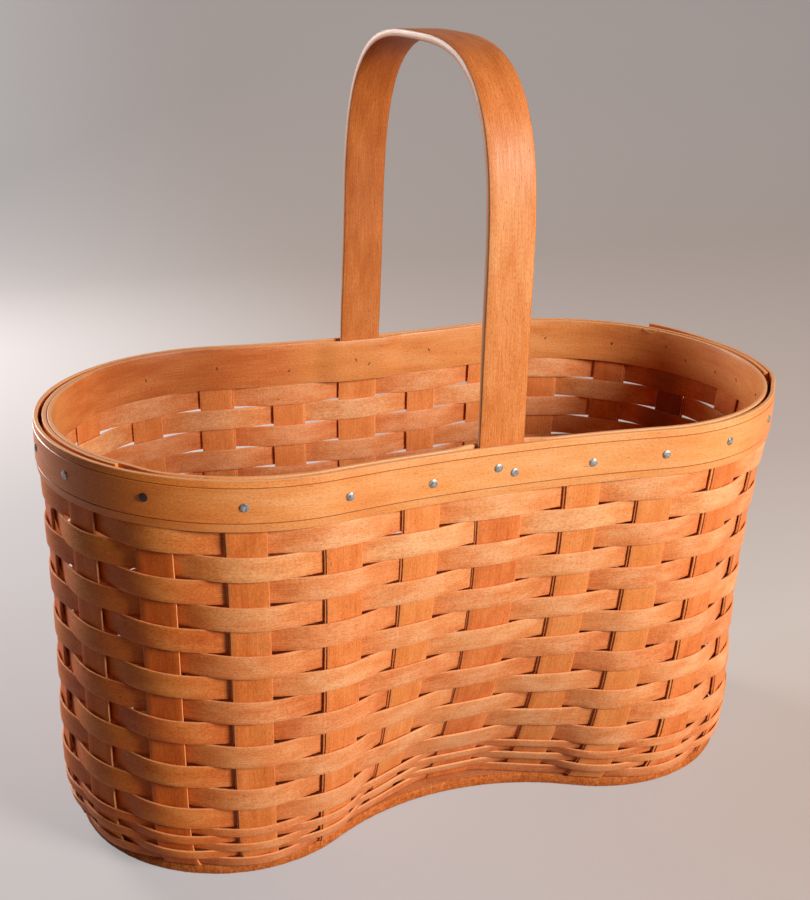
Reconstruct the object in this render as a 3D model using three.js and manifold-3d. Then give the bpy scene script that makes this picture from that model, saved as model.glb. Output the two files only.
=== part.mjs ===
// Woven splint basket with a waisted plan, a solid base board, bentwood rim bands and a bentwood handle.
// Millimetres, +Z up. The origin is on the ground under the middle of the basket, whose length runs along X.

import * as THREE from 'three';
import { mergeVertices } from 'three/addons/utils/BufferGeometryUtils.js';
import Module from 'manifold-3d';

const wasm = await Module();
wasm.setup();

// Plan of the rim, measured to the outer face of the outer band.
// A pinch is how much narrower a plan is across its waist than across its lobes, on each side.
const rimHalfLength = 209;
const rimLobeRadius = 107;
const rimPinch = 6.5;

// Plan of the base board
const boardHalfLength = 199.5;
const boardLobeRadius = 84.5;
const boardPinch = 31.1;
const boardThickness = 6.3;
const boardEdgeRound = 1;
const boardOutlinePoints = 72;

// How far the feet of the stakes stand in from the edge of the board
const footInsetAtEnd = 4;
const footInsetAtLobe = 4.3;
const footInsetAtWaist = 12;

// How far the wall swells past its foot as it rounds upright, measured at the middle of the stakes
const bellySwellAtEnd = 11.5;
const bellySwellAtLobe = 7.5;
const bellySwellAtWaist = 1.5;

// How quickly the foot of the wall rounds out, and how its sides lean out above that
const tuckPower = 16;
const leanPower = 1.9;

// Half way up the weave, how far the ends draw in from that line and the waist stands out from it
const endDraw = 5;
const waistFill = 1.7;

// Stakes, the upright splints
const stakeCount = 24;
const stakeWidth = 19;
const handleStakeWidth = 24;
const stakeThickness = 1.4;
const stakeTopDrop = 2.5;
const footLength = 19;

// Weavers, the level splints
const wideRows = 13;
const wideHeight = 12.7;
const narrowRows = 5;
const narrowHeight = 5.1;
const weaverThickness = 1.1;
const bendMargin = 1.2;

// Rim bands
const bandHeight = 25.4;
const outerBandThickness = 2.6;
const innerBandThickness = 2.2;
const bandBevelDepth = 0.6;
const bandTopBevel = 3.6;
const bandBottomBevel = 4.4;
const innerBandEase = 0.6;
const bulgeEase = 17;

// Laps of the two bands, as fractions of the way round from the +X end, anticlockwise
const outerLapFrom = -0.038;
const outerLapTo = 0.063;
const innerLapFrom = 0.415;
const innerLapTo = 0.565;
const lapEase = 26;
const lapTipThickness = 0.9;

// Handle
const handleWidth = 24.6;
const handleThickness = 4.1;
const handleLegThickness = 2.6;
const handleRise = 186;
const handleLegLean = 1;
const handleSpringRise = 70;
const handleSquareness = 3.1;
const handleEdgeRound = 0.7;
const handleTuck = 23.5;

// Floor board that holds down the feet of the stakes
const floorThickness = 5;

// Handle nails
const nailShankDiameter = 1.8;
const nailHeadDiameter = 4.8;
const nailHeadHeight = 1;
const nailSpacing = 9;
const nailStagger = 3.2;
const nailTipLength = 1;

// Gap between pieces that touch, gap between rows of the weave, and fit of a nail in its hole
const seat = 0.3;
const rowGap = 0.3;
const nailFit = 0.3;

// Levels that follow from the sizes above
const stakeFace = stakeThickness / 2;
const footMiddle = boardThickness + seat + stakeFace;
const footTop = footMiddle + stakeFace;
const footBendRadius = stakeFace + seat;
const weaveBottom = footMiddle + footBendRadius;
const narrowPitch = narrowHeight + rowGap;
const widePitch = wideHeight + rowGap;
const wideBottom = weaveBottom + narrowRows * narrowPitch;
const bandBottom = wideBottom + wideRows * widePitch;
const rimHeight = bandBottom + bandHeight;
const bandMiddle = bandBottom + bandHeight / 2;

// Sideways places, measured out from the middle of the stakes
const weaverOffset = stakeFace + seat + weaverThickness / 2;
const outerBandInside = stakeFace + seat;
const outerBandOutside = outerBandInside + outerBandThickness;
const handleOutside = -stakeFace - seat;
const handleInside = handleOutside - handleLegThickness;
const innerBandPlain = -stakeFace - seat;
const innerBandAtHandle = handleInside - seat;

const clay = (name, color, roughness) => (
  new THREE.MeshStandardMaterial({ name, color, roughness, metalness: 0 })
);
const materials = {
  stake: clay('stained_splint_upright', 0xc9713a, 0.6),
  weaver: clay('stained_splint', 0xd9864c, 0.58),
  band: clay('stained_bentwood_band', 0xe08a4e, 0.55),
  handle: clay('stained_bentwood_handle', 0xd98850, 0.55),
  board: clay('stained_board', 0xc4783f, 0.7),
  nail: new THREE.MeshStandardMaterial({ name: 'zinc_nail', color: 0x9a9a9c, roughness: 0.45, metalness: 1 }),
};

// A waisted outline is two round lobes joined by hollow arcs that touch them
function hollowRadiusOf({ halfLength, lobeRadius, halfWaist }) {
  const lobeX = halfLength - lobeRadius;
  return (lobeX ** 2 + halfWaist ** 2 - lobeRadius ** 2) / (2 * (lobeRadius - halfWaist));
}

// This finds the point and the outward normal at a fraction of its length, 0 at the +X end.
function waistedPoint(plan, fraction) {
  const { halfLength, lobeRadius, halfWaist } = plan;
  const lobeX = halfLength - lobeRadius;
  const hollowRadius = hollowRadiusOf(plan);
  const hollowY = halfWaist + hollowRadius;
  const lobeAngle = Math.atan2(hollowY, -lobeX);
  const hollowAngle = Math.atan2(lobeX, hollowY);
  const quarterLength = lobeRadius * lobeAngle + hollowRadius * hollowAngle;

  const turn = ((fraction % 1) + 1) % 1;
  const quarter = Math.min(3, Math.floor(turn * 4));
  const share = [turn, 0.5 - turn, turn - 0.5, 1 - turn][quarter];
  const signX = [1, -1, -1, 1][quarter];
  const signY = [1, 1, -1, -1][quarter];
  const run = share * 4 * quarterLength;

  const onLobe = run <= lobeRadius * lobeAngle;
  const angle = onLobe ? run / lobeRadius : hollowAngle - (run - lobeRadius * lobeAngle) / hollowRadius;
  const point = onLobe
    ? new THREE.Vector2(lobeX + lobeRadius * Math.cos(angle), lobeRadius * Math.sin(angle))
    : new THREE.Vector2(hollowRadius * Math.sin(angle), hollowY - hollowRadius * Math.cos(angle));
  const normal = onLobe
    ? new THREE.Vector2(Math.cos(angle), Math.sin(angle))
    : new THREE.Vector2(-Math.sin(angle), Math.cos(angle));
  point.set(point.x * signX, point.y * signY);
  normal.set(normal.x * signX, normal.y * signY);
  return { point, normal, length: 4 * quarterLength };
}

const grown = (plan, by) => ({
  halfLength: plan.halfLength + by,
  lobeRadius: plan.lobeRadius + by,
  halfWaist: plan.halfWaist + by,
});

const pinched = (halfLength, lobeRadius, pinch) => (
  { halfLength, lobeRadius, halfWaist: lobeRadius - pinch }
);
const boardPlan = pinched(boardHalfLength, boardLobeRadius, boardPinch);
const wallTopPlan = grown(pinched(rimHalfLength, rimLobeRadius, rimPinch), -outerBandOutside);
const footPlan = {
  halfLength: boardPlan.halfLength - footInsetAtEnd,
  lobeRadius: boardPlan.lobeRadius - footInsetAtLobe,
  halfWaist: boardPlan.halfWaist - footInsetAtWaist,
};
const bellyPlan = {
  halfLength: footPlan.halfLength + bellySwellAtEnd,
  lobeRadius: footPlan.lobeRadius + bellySwellAtLobe,
  halfWaist: footPlan.halfWaist + bellySwellAtWaist,
};
const rimLength = waistedPoint(wallTopPlan, 0).length;

// Plan of the wall at one height. It rounds out of its foot, leans out in a slight bow
// and is plumb in the bands.
function wallPlan(z) {
  const rise = THREE.MathUtils.clamp(z / bandBottom, 0, 1);
  const rest = 1 - rise;
  const bow = 4 * rise * rest;
  const tuck = 1 - rest ** tuckPower;
  const lean = 1 - rest ** leanPower;
  const blend = (key) => footPlan[key]
    + (bellyPlan[key] - footPlan[key]) * tuck
    + (wallTopPlan[key] - bellyPlan[key]) * lean;
  return {
    halfLength: blend('halfLength') - endDraw * bow,
    lobeRadius: blend('lobeRadius'),
    halfWaist: blend('halfWaist') + waistFill * bow,
  };
}

// The splints are straight between these heights, which lie between rows
const wallLevels = [
  weaveBottom,
  weaveBottom + narrowPitch,
  weaveBottom + 3 * narrowPitch,
  ...Array.from({ length: wideRows + 1 }, (_, row) => wideBottom + row * widePitch),
];
const wallPlans = wallLevels.map(wallPlan);

// Point, outward normal and tangent of the wall at a fraction round it and a height
function wallFrame(fraction, z) {
  const last = wallLevels.length - 1;
  const height = THREE.MathUtils.clamp(z, wallLevels[0], wallLevels[last]);
  let upper = 1;
  while (upper < last && wallLevels[upper] < height) upper += 1;
  const low = waistedPoint(wallPlans[upper - 1], fraction);
  const high = waistedPoint(wallPlans[upper], fraction);
  const t = (height - wallLevels[upper - 1]) / (wallLevels[upper] - wallLevels[upper - 1]);
  const point = low.point.lerp(high.point, t);
  const normal = low.normal.lerp(high.normal, t).normalize();
  return { point, normal, tangent: new THREE.Vector2(-normal.y, normal.x) };
}

// A place beside a frame: along its tangent, out along its normal and at a height
const place = (frame, along, out, z) => new THREE.Vector3(
  frame.point.x + frame.tangent.x * along + frame.normal.x * out,
  frame.point.y + frame.tangent.y * along + frame.normal.y * out,
  z,
);

// A closed solid skinned over a row of sections with equal numbers of corners
function skin(sections, closed) {
  const corners = sections[0].length;
  const positions = sections.flat().flatMap((corner) => [corner.x, corner.y, corner.z]);
  const index = [];
  const spans = closed ? sections.length : sections.length - 1;
  for (let i = 0; i < spans; i += 1) {
    const next = ((i + 1) % sections.length) * corners;
    for (let j = 0; j < corners; j += 1) {
      const a = i * corners + j;
      const b = i * corners + (j + 1) % corners;
      const c = next + (j + 1) % corners;
      const d = next + j;
      index.push(a, b, c, a, c, d);
    }
  }
  if (!closed) {
    const end = (sections.length - 1) * corners;
    for (let j = 1; j < corners - 1; j += 1) {
      index.push(0, j + 1, j);
      index.push(end, end + j, end + j + 1);
    }
  }
  return facingOut(positions, index);
}

// A geometry whose triangles all face away from its inside
function facingOut(positions, index) {
  let volume = 0;
  const corner = (i) => new THREE.Vector3().fromArray(positions, index[i] * 3);
  for (let i = 0; i < index.length; i += 3) volume += corner(i).dot(corner(i + 1).cross(corner(i + 2)));
  if (volume < 0) {
    for (let i = 0; i < index.length; i += 3) [index[i + 1], index[i + 2]] = [index[i + 2], index[i + 1]];
  }
  const geometry = new THREE.BufferGeometry();
  geometry.setAttribute('position', new THREE.Float32BufferAttribute(positions, 3));
  geometry.setIndex(index);
  return geometry;
}

function toManifold(geometry) {
  const bare = geometry.clone();
  bare.deleteAttribute('normal');
  bare.deleteAttribute('uv');
  const merged = mergeVertices(bare);
  const vertProperties = new Float32Array(merged.attributes.position.array);
  const triVerts = new Uint32Array(merged.index.array);
  return new wasm.Manifold(new wasm.Mesh({ numProp: 3, vertProperties, triVerts }));
}

function fromManifold(solid) {
  const mesh = solid.getMesh();
  const geometry = new THREE.BufferGeometry();
  geometry.setAttribute('position', new THREE.BufferAttribute(new Float32Array(mesh.vertProperties), 3));
  geometry.setIndex(new THREE.BufferAttribute(new Uint32Array(mesh.triVerts), 1));
  return geometry;
}

function drilled(geometry, holes) {
  let solid = toManifold(geometry);
  for (const hole of holes) solid = solid.subtract(toManifold(hole));
  return fromManifold(solid);
}

const basket = new THREE.Group();
function add(name, geometry, material) {
  geometry.computeVertexNormals();
  const mesh = new THREE.Mesh(geometry, material);
  mesh.name = name;
  basket.add(mesh);
}

// Holes and shanks of the handle nails run level, across the waist. Each side has two, one a little higher.
const handleStakes = [
  { name: 'back', index: stakeCount / 4, side: 1 },
  { name: 'front', index: (3 * stakeCount) / 4, side: -1 },
];
const waistY = wallTopPlan.halfWaist;
const nailPlaces = handleStakes.flatMap(({ name, side }) => [-1, 1].map((hand) => ({
  name: `handle_nail_${name}_${hand < 0 ? 'left' : 'right'}`,
  side,
  x: (hand * nailSpacing) / 2,
  z: bandMiddle - (hand * nailStagger) / 2,
})));

function nailHoles(side) {
  return nailPlaces.filter((nail) => nail.side === side).map((nail) => {
    const reach = outerBandOutside - innerBandAtHandle + 4 * innerBandThickness;
    const drill = new THREE.CylinderGeometry(
      nailShankDiameter / 2 + nailFit,
      nailShankDiameter / 2 + nailFit,
      reach,
      8,
    );
    drill.translate(nail.x, side * (waistY + innerBandAtHandle / 2), nail.z);
    return drill;
  });
}

// Base board: the waisted outline with its edges eased, as one stack of outlines
function boardSolid(plan, bottom, thickness, ease) {
  const points = boardOutlinePoints;
  const top = bottom + thickness;
  const rows = [[bottom, -ease], [bottom + ease, 0], [top - ease, 0], [top, -ease]];
  const stack = ease > 0 ? rows : [rows[0], rows[3]];
  const sections = stack.map(([z, growth]) => Array.from({ length: points }, (_, i) => {
    const { point, normal } = waistedPoint(plan, i / points);
    return new THREE.Vector3(point.x + normal.x * growth, point.y + normal.y * growth, z);
  }));
  const positions = sections.flat().flatMap((corner) => [corner.x, corner.y, corner.z]);
  const index = [];
  for (let level = 0; level < sections.length - 1; level += 1) {
    for (let i = 0; i < points; i += 1) {
      const a = level * points + i;
      const b = level * points + ((i + 1) % points);
      index.push(a, b, b + points, a, b + points, a + points);
    }
  }
  const cap = (level, up) => {
    const flat = sections[level].map((corner) => new THREE.Vector2(corner.x, corner.y));
    for (const [a, b, c] of THREE.ShapeUtils.triangulateShape(flat, [])) {
      const [i, j, k] = [a, b, c].map((corner) => corner + level * points);
      index.push(...(up ? [i, j, k] : [i, k, j]));
    }
  };
  cap(0, false);
  cap(sections.length - 1, true);
  return facingOut(positions, index);
}

add('base_board', boardSolid(boardPlan, 0, boardThickness, boardEdgeRound), materials.board);

// The floor board clears the lowest row, whose flat stretches cut in across the hollow of the waist
const floorInset = stakeFace + seat + weaverThickness + seat;
const waistCut = (handleStakeWidth / 2 + bendMargin) ** 2 / (2 * hollowRadiusOf(wallPlan(weaveBottom)));
const floorPlan = grown(wallPlan(weaveBottom), -floorInset - waistCut);
add('floor_board', boardSolid(floorPlan, footTop + seat, floorThickness, 0), materials.board);

// Stakes: each stands in the wall, turns in over the base board and is held down by the floor board
const stakeTop = rimHeight - stakeTopDrop;
const widthOf = (k) => (handleStakes.some(({ index }) => index === k) ? handleStakeWidth : stakeWidth);

function stakeSolid(k) {
  const fraction = k / stakeCount;
  const half = widthOf(k) / 2;
  const section = (frame, inward, z, tilt) => {
    const out = Math.cos(tilt) * stakeFace;
    const down = Math.sin(tilt) * stakeFace;
    return [
      place(frame, -half, -inward - out, z + down),
      place(frame, half, -inward - out, z + down),
      place(frame, half, -inward + out, z - down),
      place(frame, -half, -inward + out, z - down),
    ];
  };
  const bottomFrame = wallFrame(fraction, weaveBottom);
  const foot = [
    section(bottomFrame, footLength, footMiddle, Math.PI / 2),
    section(bottomFrame, footBendRadius, footMiddle, Math.PI / 2),
    section(
      bottomFrame,
      footBendRadius * (1 - Math.SQRT1_2),
      weaveBottom - footBendRadius * Math.SQRT1_2,
      Math.PI / 4,
    ),
  ];
  const upright = wallLevels.map((z) => section(wallFrame(fraction, z), 0, z, 0));
  const top = section(wallFrame(fraction, bandBottom), 0, stakeTop, 0);
  return skin([...foot, ...upright, top], false);
}

for (let k = 0; k < stakeCount; k += 1) {
  const handleStake = handleStakes.find(({ index }) => index === k);
  const solid = stakeSolid(k);
  const name = handleStake ? `handle_stake_${handleStake.name}` : `stake_${String(k + 1).padStart(2, '0')}`;
  add(name, handleStake ? drilled(solid, nailHoles(handleStake.side)) : solid, materials.stake);
}

// Weavers: each row is one splint that passes outside one stake and inside the next.
// It lies flat along each stake and runs straight from one to the next.
function weaverSolid(row, bottom, height) {
  const sections = [];
  const top = bottom + height;
  const section = (fraction, along, out) => {
    const low = wallFrame(fraction, bottom);
    const high = wallFrame(fraction, top);
    const half = weaverThickness / 2;
    return [
      place(low, along, out - half, bottom),
      place(low, along, out + half, bottom),
      place(high, along, out + half, top),
      place(high, along, out - half, top),
    ];
  };
  for (let k = 0; k < stakeCount; k += 1) {
    const out = (row + k) % 2 === 1 ? weaverOffset : -weaverOffset;
    const reach = widthOf(k) / 2 + bendMargin;
    sections.push(section(k / stakeCount, -reach, out), section(k / stakeCount, reach, out));
  }
  return skin(sections, true);
}

const rows = wideRows + narrowRows;
for (let row = 1; row <= rows; row += 1) {
  const wide = row <= wideRows;
  const height = wide ? wideHeight : narrowHeight;
  const bottom = wide ? bandBottom - row * widePitch : wideBottom - (row - wideRows) * narrowPitch;
  const name = `weaver_${String(row).padStart(2, '0')}`;
  add(name, weaverSolid(row, bottom, height), materials.weaver);
}

// Bands: each is one strip bent round the rim, with its ends lapped. It lies flat along every stake.
// The layer that lies over the lap eases back to the stakes past the end of the layer under it.
const smooth = (t) => THREE.MathUtils.smoothstep(t, 0, 1);

function bandStations(from, to) {
  const stations = [from];
  const shortest = bendMargin / rimLength;
  for (let k = Math.floor(from * stakeCount); k <= Math.ceil(to * stakeCount); k += 1) {
    const reach = (widthOf((k + stakeCount * 2) % stakeCount) / 2 + bendMargin) / rimLength;
    for (const turn of [k / stakeCount - reach, k / stakeCount + reach, (k + 0.5) / stakeCount]) {
      if (turn > from + shortest && turn < to - shortest) stations.push(turn);
    }
  }
  return [...stations, to];
}

// The flat of the nearest stake where there is one, and the wall line between stakes
function bandFrame(turn) {
  const k = Math.round(turn * stakeCount);
  const along = (turn - k / stakeCount) * rimLength;
  const flat = Math.abs(along) < widthOf((k + stakeCount * 2) % stakeCount) / 2 + 2 * bendMargin;
  const frame = wallFrame(flat ? k / stakeCount : turn, bandBottom);
  return (out, z) => place(frame, flat ? along : 0, out, z);
}

// The inner band swells inwards over each handle end that it holds
function handleBulge(fraction) {
  const away = Math.min(...handleStakes.map(({ index }) => {
    const turn = Math.abs((((fraction - index / stakeCount) % 1) + 1.5) % 1 - 0.5);
    return turn * rimLength;
  }));
  return 1 - smooth((away - handleWidth / 2 - seat) / bulgeEase);
}

function outerBandSolid() {
  const sections = bandStations(outerLapFrom - 1, outerLapTo).map((turn) => {
    const before = (outerLapFrom - turn) * rimLength;
    const lift = (outerBandThickness + seat) * (1 - smooth(before / lapEase));
    const at = bandFrame(turn);
    const inside = outerBandInside + lift;
    const outside = inside + outerBandThickness;
    return [
      at(inside, bandBottom),
      at(outside - bandBevelDepth, bandBottom),
      at(outside, bandBottom + bandBottomBevel),
      at(outside, rimHeight - bandTopBevel),
      at(outside - bandBevelDepth, rimHeight),
      at(inside, rimHeight),
    ];
  });
  return skin(sections, false);
}

function innerBandSolid() {
  const sections = bandStations(innerLapFrom, innerLapTo + 1).map((turn) => {
    const past = (turn - innerLapTo) * rimLength;
    const lift = (innerBandThickness + seat) * (1 - smooth(past / lapEase));
    const fullness = smooth((turn - innerLapFrom) * rimLength / lapEase);
    const thickness = THREE.MathUtils.lerp(lapTipThickness, innerBandThickness, fullness);
    const bulge = (innerBandAtHandle - innerBandPlain) * handleBulge(turn);
    const at = bandFrame(turn);
    const outside = innerBandPlain + bulge - lift;
    const inside = outside - thickness;
    return [
      at(outside, bandBottom),
      at(outside, rimHeight),
      at(inside + innerBandEase, rimHeight),
      at(inside, rimHeight - innerBandEase),
      at(inside, bandBottom),
    ];
  });
  return skin(sections, false);
}

const allHoles = [...nailHoles(1), ...nailHoles(-1)];
add('outer_rim_band', drilled(outerBandSolid(), allHoles), materials.band);
add('inner_rim_band', drilled(innerBandSolid(), allHoles), materials.band);

// Handle: one strip on edge across the waist, with thinned legs that go down between stake and inner band.
// Its arch is a superellipse above the springing, and its legs lean in a little below that.
function handleSolid() {
  const legY = waistY + handleOutside;
  const halfSpan = legY - handleLegLean;
  const springZ = rimHeight + handleSpringRise;
  const topZ = rimHeight + handleRise;
  const legSteps = 4;
  const archSteps = 30;
  const curve = (depthAtLeg, depthAtArch) => {
    const points = [];
    for (let i = 0; i < legSteps; i += 1) {
      const t = i / legSteps;
      const depth = THREE.MathUtils.lerp(depthAtLeg, depthAtArch, smooth(t));
      const y = THREE.MathUtils.lerp(legY, halfSpan, t) - depth;
      points.push([y, THREE.MathUtils.lerp(rimHeight, springZ, t)]);
    }
    for (let i = 0; i <= archSteps; i += 1) {
      const angle = (Math.PI * i) / archSteps;
      const across = Math.sign(Math.cos(angle)) * Math.abs(Math.cos(angle)) ** (2 / handleSquareness);
      const up = Math.abs(Math.sin(angle)) ** (2 / handleSquareness);
      points.push([(halfSpan - depthAtArch) * across, springZ + (topZ - depthAtArch - springZ) * up]);
    }
    return points;
  };
  const oneSide = (points) => [...points, ...points.slice(0, legSteps).reverse().map(([y, z]) => [-y, z])];
  const endZ = rimHeight - handleTuck;
  const outer = [[legY, endZ], ...oneSide(curve(0, 0)), [-legY, endZ]];
  const inner = [
    [legY - handleLegThickness, endZ],
    ...oneSide(curve(handleLegThickness, handleThickness)),
    [handleLegThickness - legY, endZ],
  ];
  const sections = outer.map(([outY, outZ], i) => {
    const [inY, inZ] = inner[i];
    const thickness = Math.hypot(outY - inY, outZ - inZ);
    const ease = handleEdgeRound;
    const share = ease / thickness;
    const at = (x, t) => new THREE.Vector3(
      x,
      THREE.MathUtils.lerp(outY, inY, t),
      THREE.MathUtils.lerp(outZ, inZ, t),
    );
    const half = handleWidth / 2;
    return [
      at(-half + ease, 0),
      at(half - ease, 0),
      at(half, share),
      at(half, 1 - share),
      at(half - ease, 1),
      at(-half + ease, 1),
      at(-half, 1 - share),
      at(-half, share),
    ];
  });
  return skin(sections, false);
}
add('handle', drilled(handleSolid(), allHoles), materials.handle);

// Handle nails: a low domed head on the outer band and a shank through both bands, the stake and the handle
function nailSolid() {
  const shank = nailShankDiameter / 2;
  const head = nailHeadDiameter / 2;
  const length = outerBandOutside + seat - innerBandAtHandle + innerBandThickness + nailTipLength;
  const profile = [
    [0, -length],
    [shank * 0.4, -length],
    [shank, -length + nailTipLength],
    [shank, 0],
    [head, 0],
    [head, nailHeadHeight * 0.4],
    [head * 0.6, nailHeadHeight],
    [0, nailHeadHeight],
  ].map(([radius, along]) => new THREE.Vector2(radius, along));
  return new THREE.LatheGeometry(profile, 12);
}

for (const nail of nailPlaces) {
  const solid = nailSolid();
  if (nail.side < 0) solid.rotateX(Math.PI);
  solid.translate(nail.x, nail.side * (waistY + outerBandOutside + seat), nail.z);
  add(nail.name, solid, materials.nail);
}

// The lap makes the +X end a little longer, so everything moves to put the origin under the middle
const extent = new THREE.Box3().setFromObject(basket);
const middle = extent.getCenter(new THREE.Vector3());
for (const mesh of basket.children) mesh.geometry.translate(-middle.x, -middle.y, -extent.min.z);

export default basket;
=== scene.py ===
import bpy
import random
from math import atan2, cos, floor, hypot, pi, radians, sin
from mathutils import Matrix, Vector
from mathutils.noise import noise


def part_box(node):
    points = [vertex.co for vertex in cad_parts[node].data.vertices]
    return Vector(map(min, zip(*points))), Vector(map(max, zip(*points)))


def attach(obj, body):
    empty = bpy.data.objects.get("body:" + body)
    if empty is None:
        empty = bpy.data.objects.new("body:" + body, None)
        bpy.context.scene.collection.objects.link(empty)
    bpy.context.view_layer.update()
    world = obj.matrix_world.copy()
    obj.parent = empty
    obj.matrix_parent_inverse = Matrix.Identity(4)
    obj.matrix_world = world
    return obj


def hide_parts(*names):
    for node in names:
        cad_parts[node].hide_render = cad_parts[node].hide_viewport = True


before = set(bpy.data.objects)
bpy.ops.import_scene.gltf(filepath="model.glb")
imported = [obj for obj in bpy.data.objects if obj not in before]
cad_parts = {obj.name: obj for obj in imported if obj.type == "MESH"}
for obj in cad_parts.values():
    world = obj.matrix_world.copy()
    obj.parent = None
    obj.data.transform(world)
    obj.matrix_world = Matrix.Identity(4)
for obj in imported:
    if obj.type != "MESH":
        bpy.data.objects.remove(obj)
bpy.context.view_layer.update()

mm = 0.001
upward = Vector((0, 0, 1))

# Sizes of the basket in mm. A plan is its half length, its lobe radius and its half width at the waist.
basket = {
    "boardPlan": (199.5, 84.5, 53.4),
    "footInset": (4.0, 4.3, 12.0),      # the wall's foot, in from the edge of the board
    "bellySwell": (11.5, 7.5, 1.5),     # the wall just above its foot, out from there
    "rimPlan": (209.0, 107.0, 100.5),   # outside of the outer band
    "bandOutside": 3.6,                 # outer band's face, out from the middle of the uprights
    "tuckPower": 16.0,                  # how quickly the foot rounds out
    "leanPower": 1.9,                   # how the sides lean out above it
    "endDraw": 4.6,                     # half way up, the ends draw in
    "waistFill": 1.7,                   # and the waist fills out
    "boardThickness": 6.3,
    "weaveBottom": 8.3,
    "bandBottom": 204.3,
    "rimHeight": 229.7,
    "uprights": 24,
    "handleUprights": (6, 18),          # back and front
}
# What the maker's hands and the years left uneven, and painted shade, in mm or as shares
handMade = {
    "endShift": (3.3, -3.1, 0.6),       # the whole wall toward +X: at its foot, added half way up, at its rim
    # uprights off their even steps, at the rim and at the foot
    "drift": {16: (3.2, 1.6), 17: (1.1, -2.0), 18: (-1.0, 2.4), 19: (1.3, 3.5), 20: (0.0, -1.6),
              21: (0.0, -1.7)},
    "rowWander": 0.55,                  # how far the lines between the rows stray
    "wanderRound": 3.1,                 # how quickly that changes round the wall
    "wanderStep": 0.31,                 # and from row to row
    "wanderRows": 3,                    # the outermost lines lie level, the third one in strays fully
    "leftEndShade": 1.0,                     # painted shade: how far the left end's outside is darkened and reddened
    "leftEndShadeSpan": 0.9,
    "rightInsideShade": 0.9,                  # and painted shade on the weave inside the right end
    "rightInsideShadeFrom": 0.68,
    "rightInsideShadeSpan": 0.2,
    "paleTip": 0.5,                     # which has less of that painted shade again at its very end
    "paleTipFrom": 0.9,
    "paleTipSpan": 0.1,
    "paleWaist": 0.2,                   # how much paler the front waist is rubbed
    "paleTurn": 0.76,
    "paleHalf": 0.09,
}
footPlan = tuple(board - inset for board, inset in zip(basket["boardPlan"], basket["footInset"]))
bellyPlan = tuple(foot + swell for foot, swell in zip(footPlan, basket["bellySwell"]))
wallTopPlan = tuple(rim - basket["bandOutside"] for rim in basket["rimPlan"])
bandMiddle = (basket["bandBottom"] + basket["rimHeight"]) / 2
handleLow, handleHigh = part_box("handle")
# the lap of the outer band sets the middle of the basket a little off the origin
middleX = (handleLow.x + handleHigh.x) / 2 / mm


def planArcs(shape):
    # the plan is four like quarters, each an arc of the lobe and an arc of the waist's hollow
    halfLength, lobeRadius, halfWaist = shape
    lobeX = halfLength - lobeRadius
    hollowRadius = (lobeX ** 2 + halfWaist ** 2 - lobeRadius ** 2) / (2 * (lobeRadius - halfWaist))
    hollowY = halfWaist + hollowRadius
    return lobeX, hollowRadius, hollowY, atan2(hollowY, -lobeX), atan2(lobeX, hollowY)


def planPoint(shape, turn):
    # point and outward normal at a fraction of the way round, 0 at the +X end, anticlockwise
    lobeRadius = shape[1]
    lobeX, hollowRadius, hollowY, lobeAngle, hollowAngle = planArcs(shape)
    turn = turn - floor(turn)
    quarter = min(3, int(turn * 4))
    share = (turn, 0.5 - turn, turn - 0.5, 1 - turn)[quarter]
    signX, signY = ((1, 1), (-1, 1), (-1, -1), (1, -1))[quarter]
    run = share * 4 * (lobeRadius * lobeAngle + hollowRadius * hollowAngle)
    if run <= lobeRadius * lobeAngle:
        angle = run / lobeRadius
        point = (lobeX + lobeRadius * cos(angle), lobeRadius * sin(angle))
        normal = (cos(angle), sin(angle))
    else:
        angle = hollowAngle - (run - lobeRadius * lobeAngle) / hollowRadius
        point = (hollowRadius * sin(angle), hollowY - hollowRadius * cos(angle))
        normal = (-sin(angle), cos(angle))
    return (point[0] * signX, point[1] * signY), (normal[0] * signX, normal[1] * signY)


def planLength(shape):
    lobeX, hollowRadius, hollowY, lobeAngle, hollowAngle = planArcs(shape)
    return 4 * (shape[1] * lobeAngle + hollowRadius * hollowAngle)


def smooth(value, start=0.0, span=1.0):
    # rises from 0 at the start to 1 a span later, and levels off at both
    t = min(max((value - start) / span, 0.0), 1.0)
    return t * t * (3 - 2 * t)


def shareUp(height):
    # 0 at the foot of the wall, 1 under the bands
    return min(max(height / basket["bandBottom"], 0), 1)


def bowAt(height):
    rise = shareUp(height)
    return 4 * rise * (1 - rise)


def wallShape(height):
    rest = 1 - shareUp(height)
    tuck = 1 - rest ** basket["tuckPower"]
    lean = 1 - rest ** basket["leanPower"]
    length, lobe, waist = (foot + (belly - foot) * tuck + (top - belly) * lean
                           for foot, belly, top in zip(footPlan, bellyPlan, wallTopPlan))
    return length - basket["endDraw"] * bowAt(height), lobe, waist + basket["waistFill"] * bowAt(height)


def endShiftAt(height):
    foot, half, rim = handMade["endShift"]
    share = height / basket["rimHeight"]
    return foot * (1 - share) + rim * share + half * bowAt(height)


def wallPoint(turn, height, out=0.0):
    point, normal = planPoint(wallShape(max(height, basket["weaveBottom"])), turn)
    out += endShiftAt(height) * cos(2 * pi * turn)
    return Vector((point[0] + normal[0] * out + middleX, point[1] + normal[1] * out, height))


def wallNormal(turn, height):
    normal = planPoint(wallShape(max(height, basket["weaveBottom"])), turn)[1]
    return Vector((normal[0], normal[1], 0))


def alongWall(normal):
    return Vector((-normal.y, normal.x, 0))


rimLength = planLength(wallTopPlan)


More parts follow.
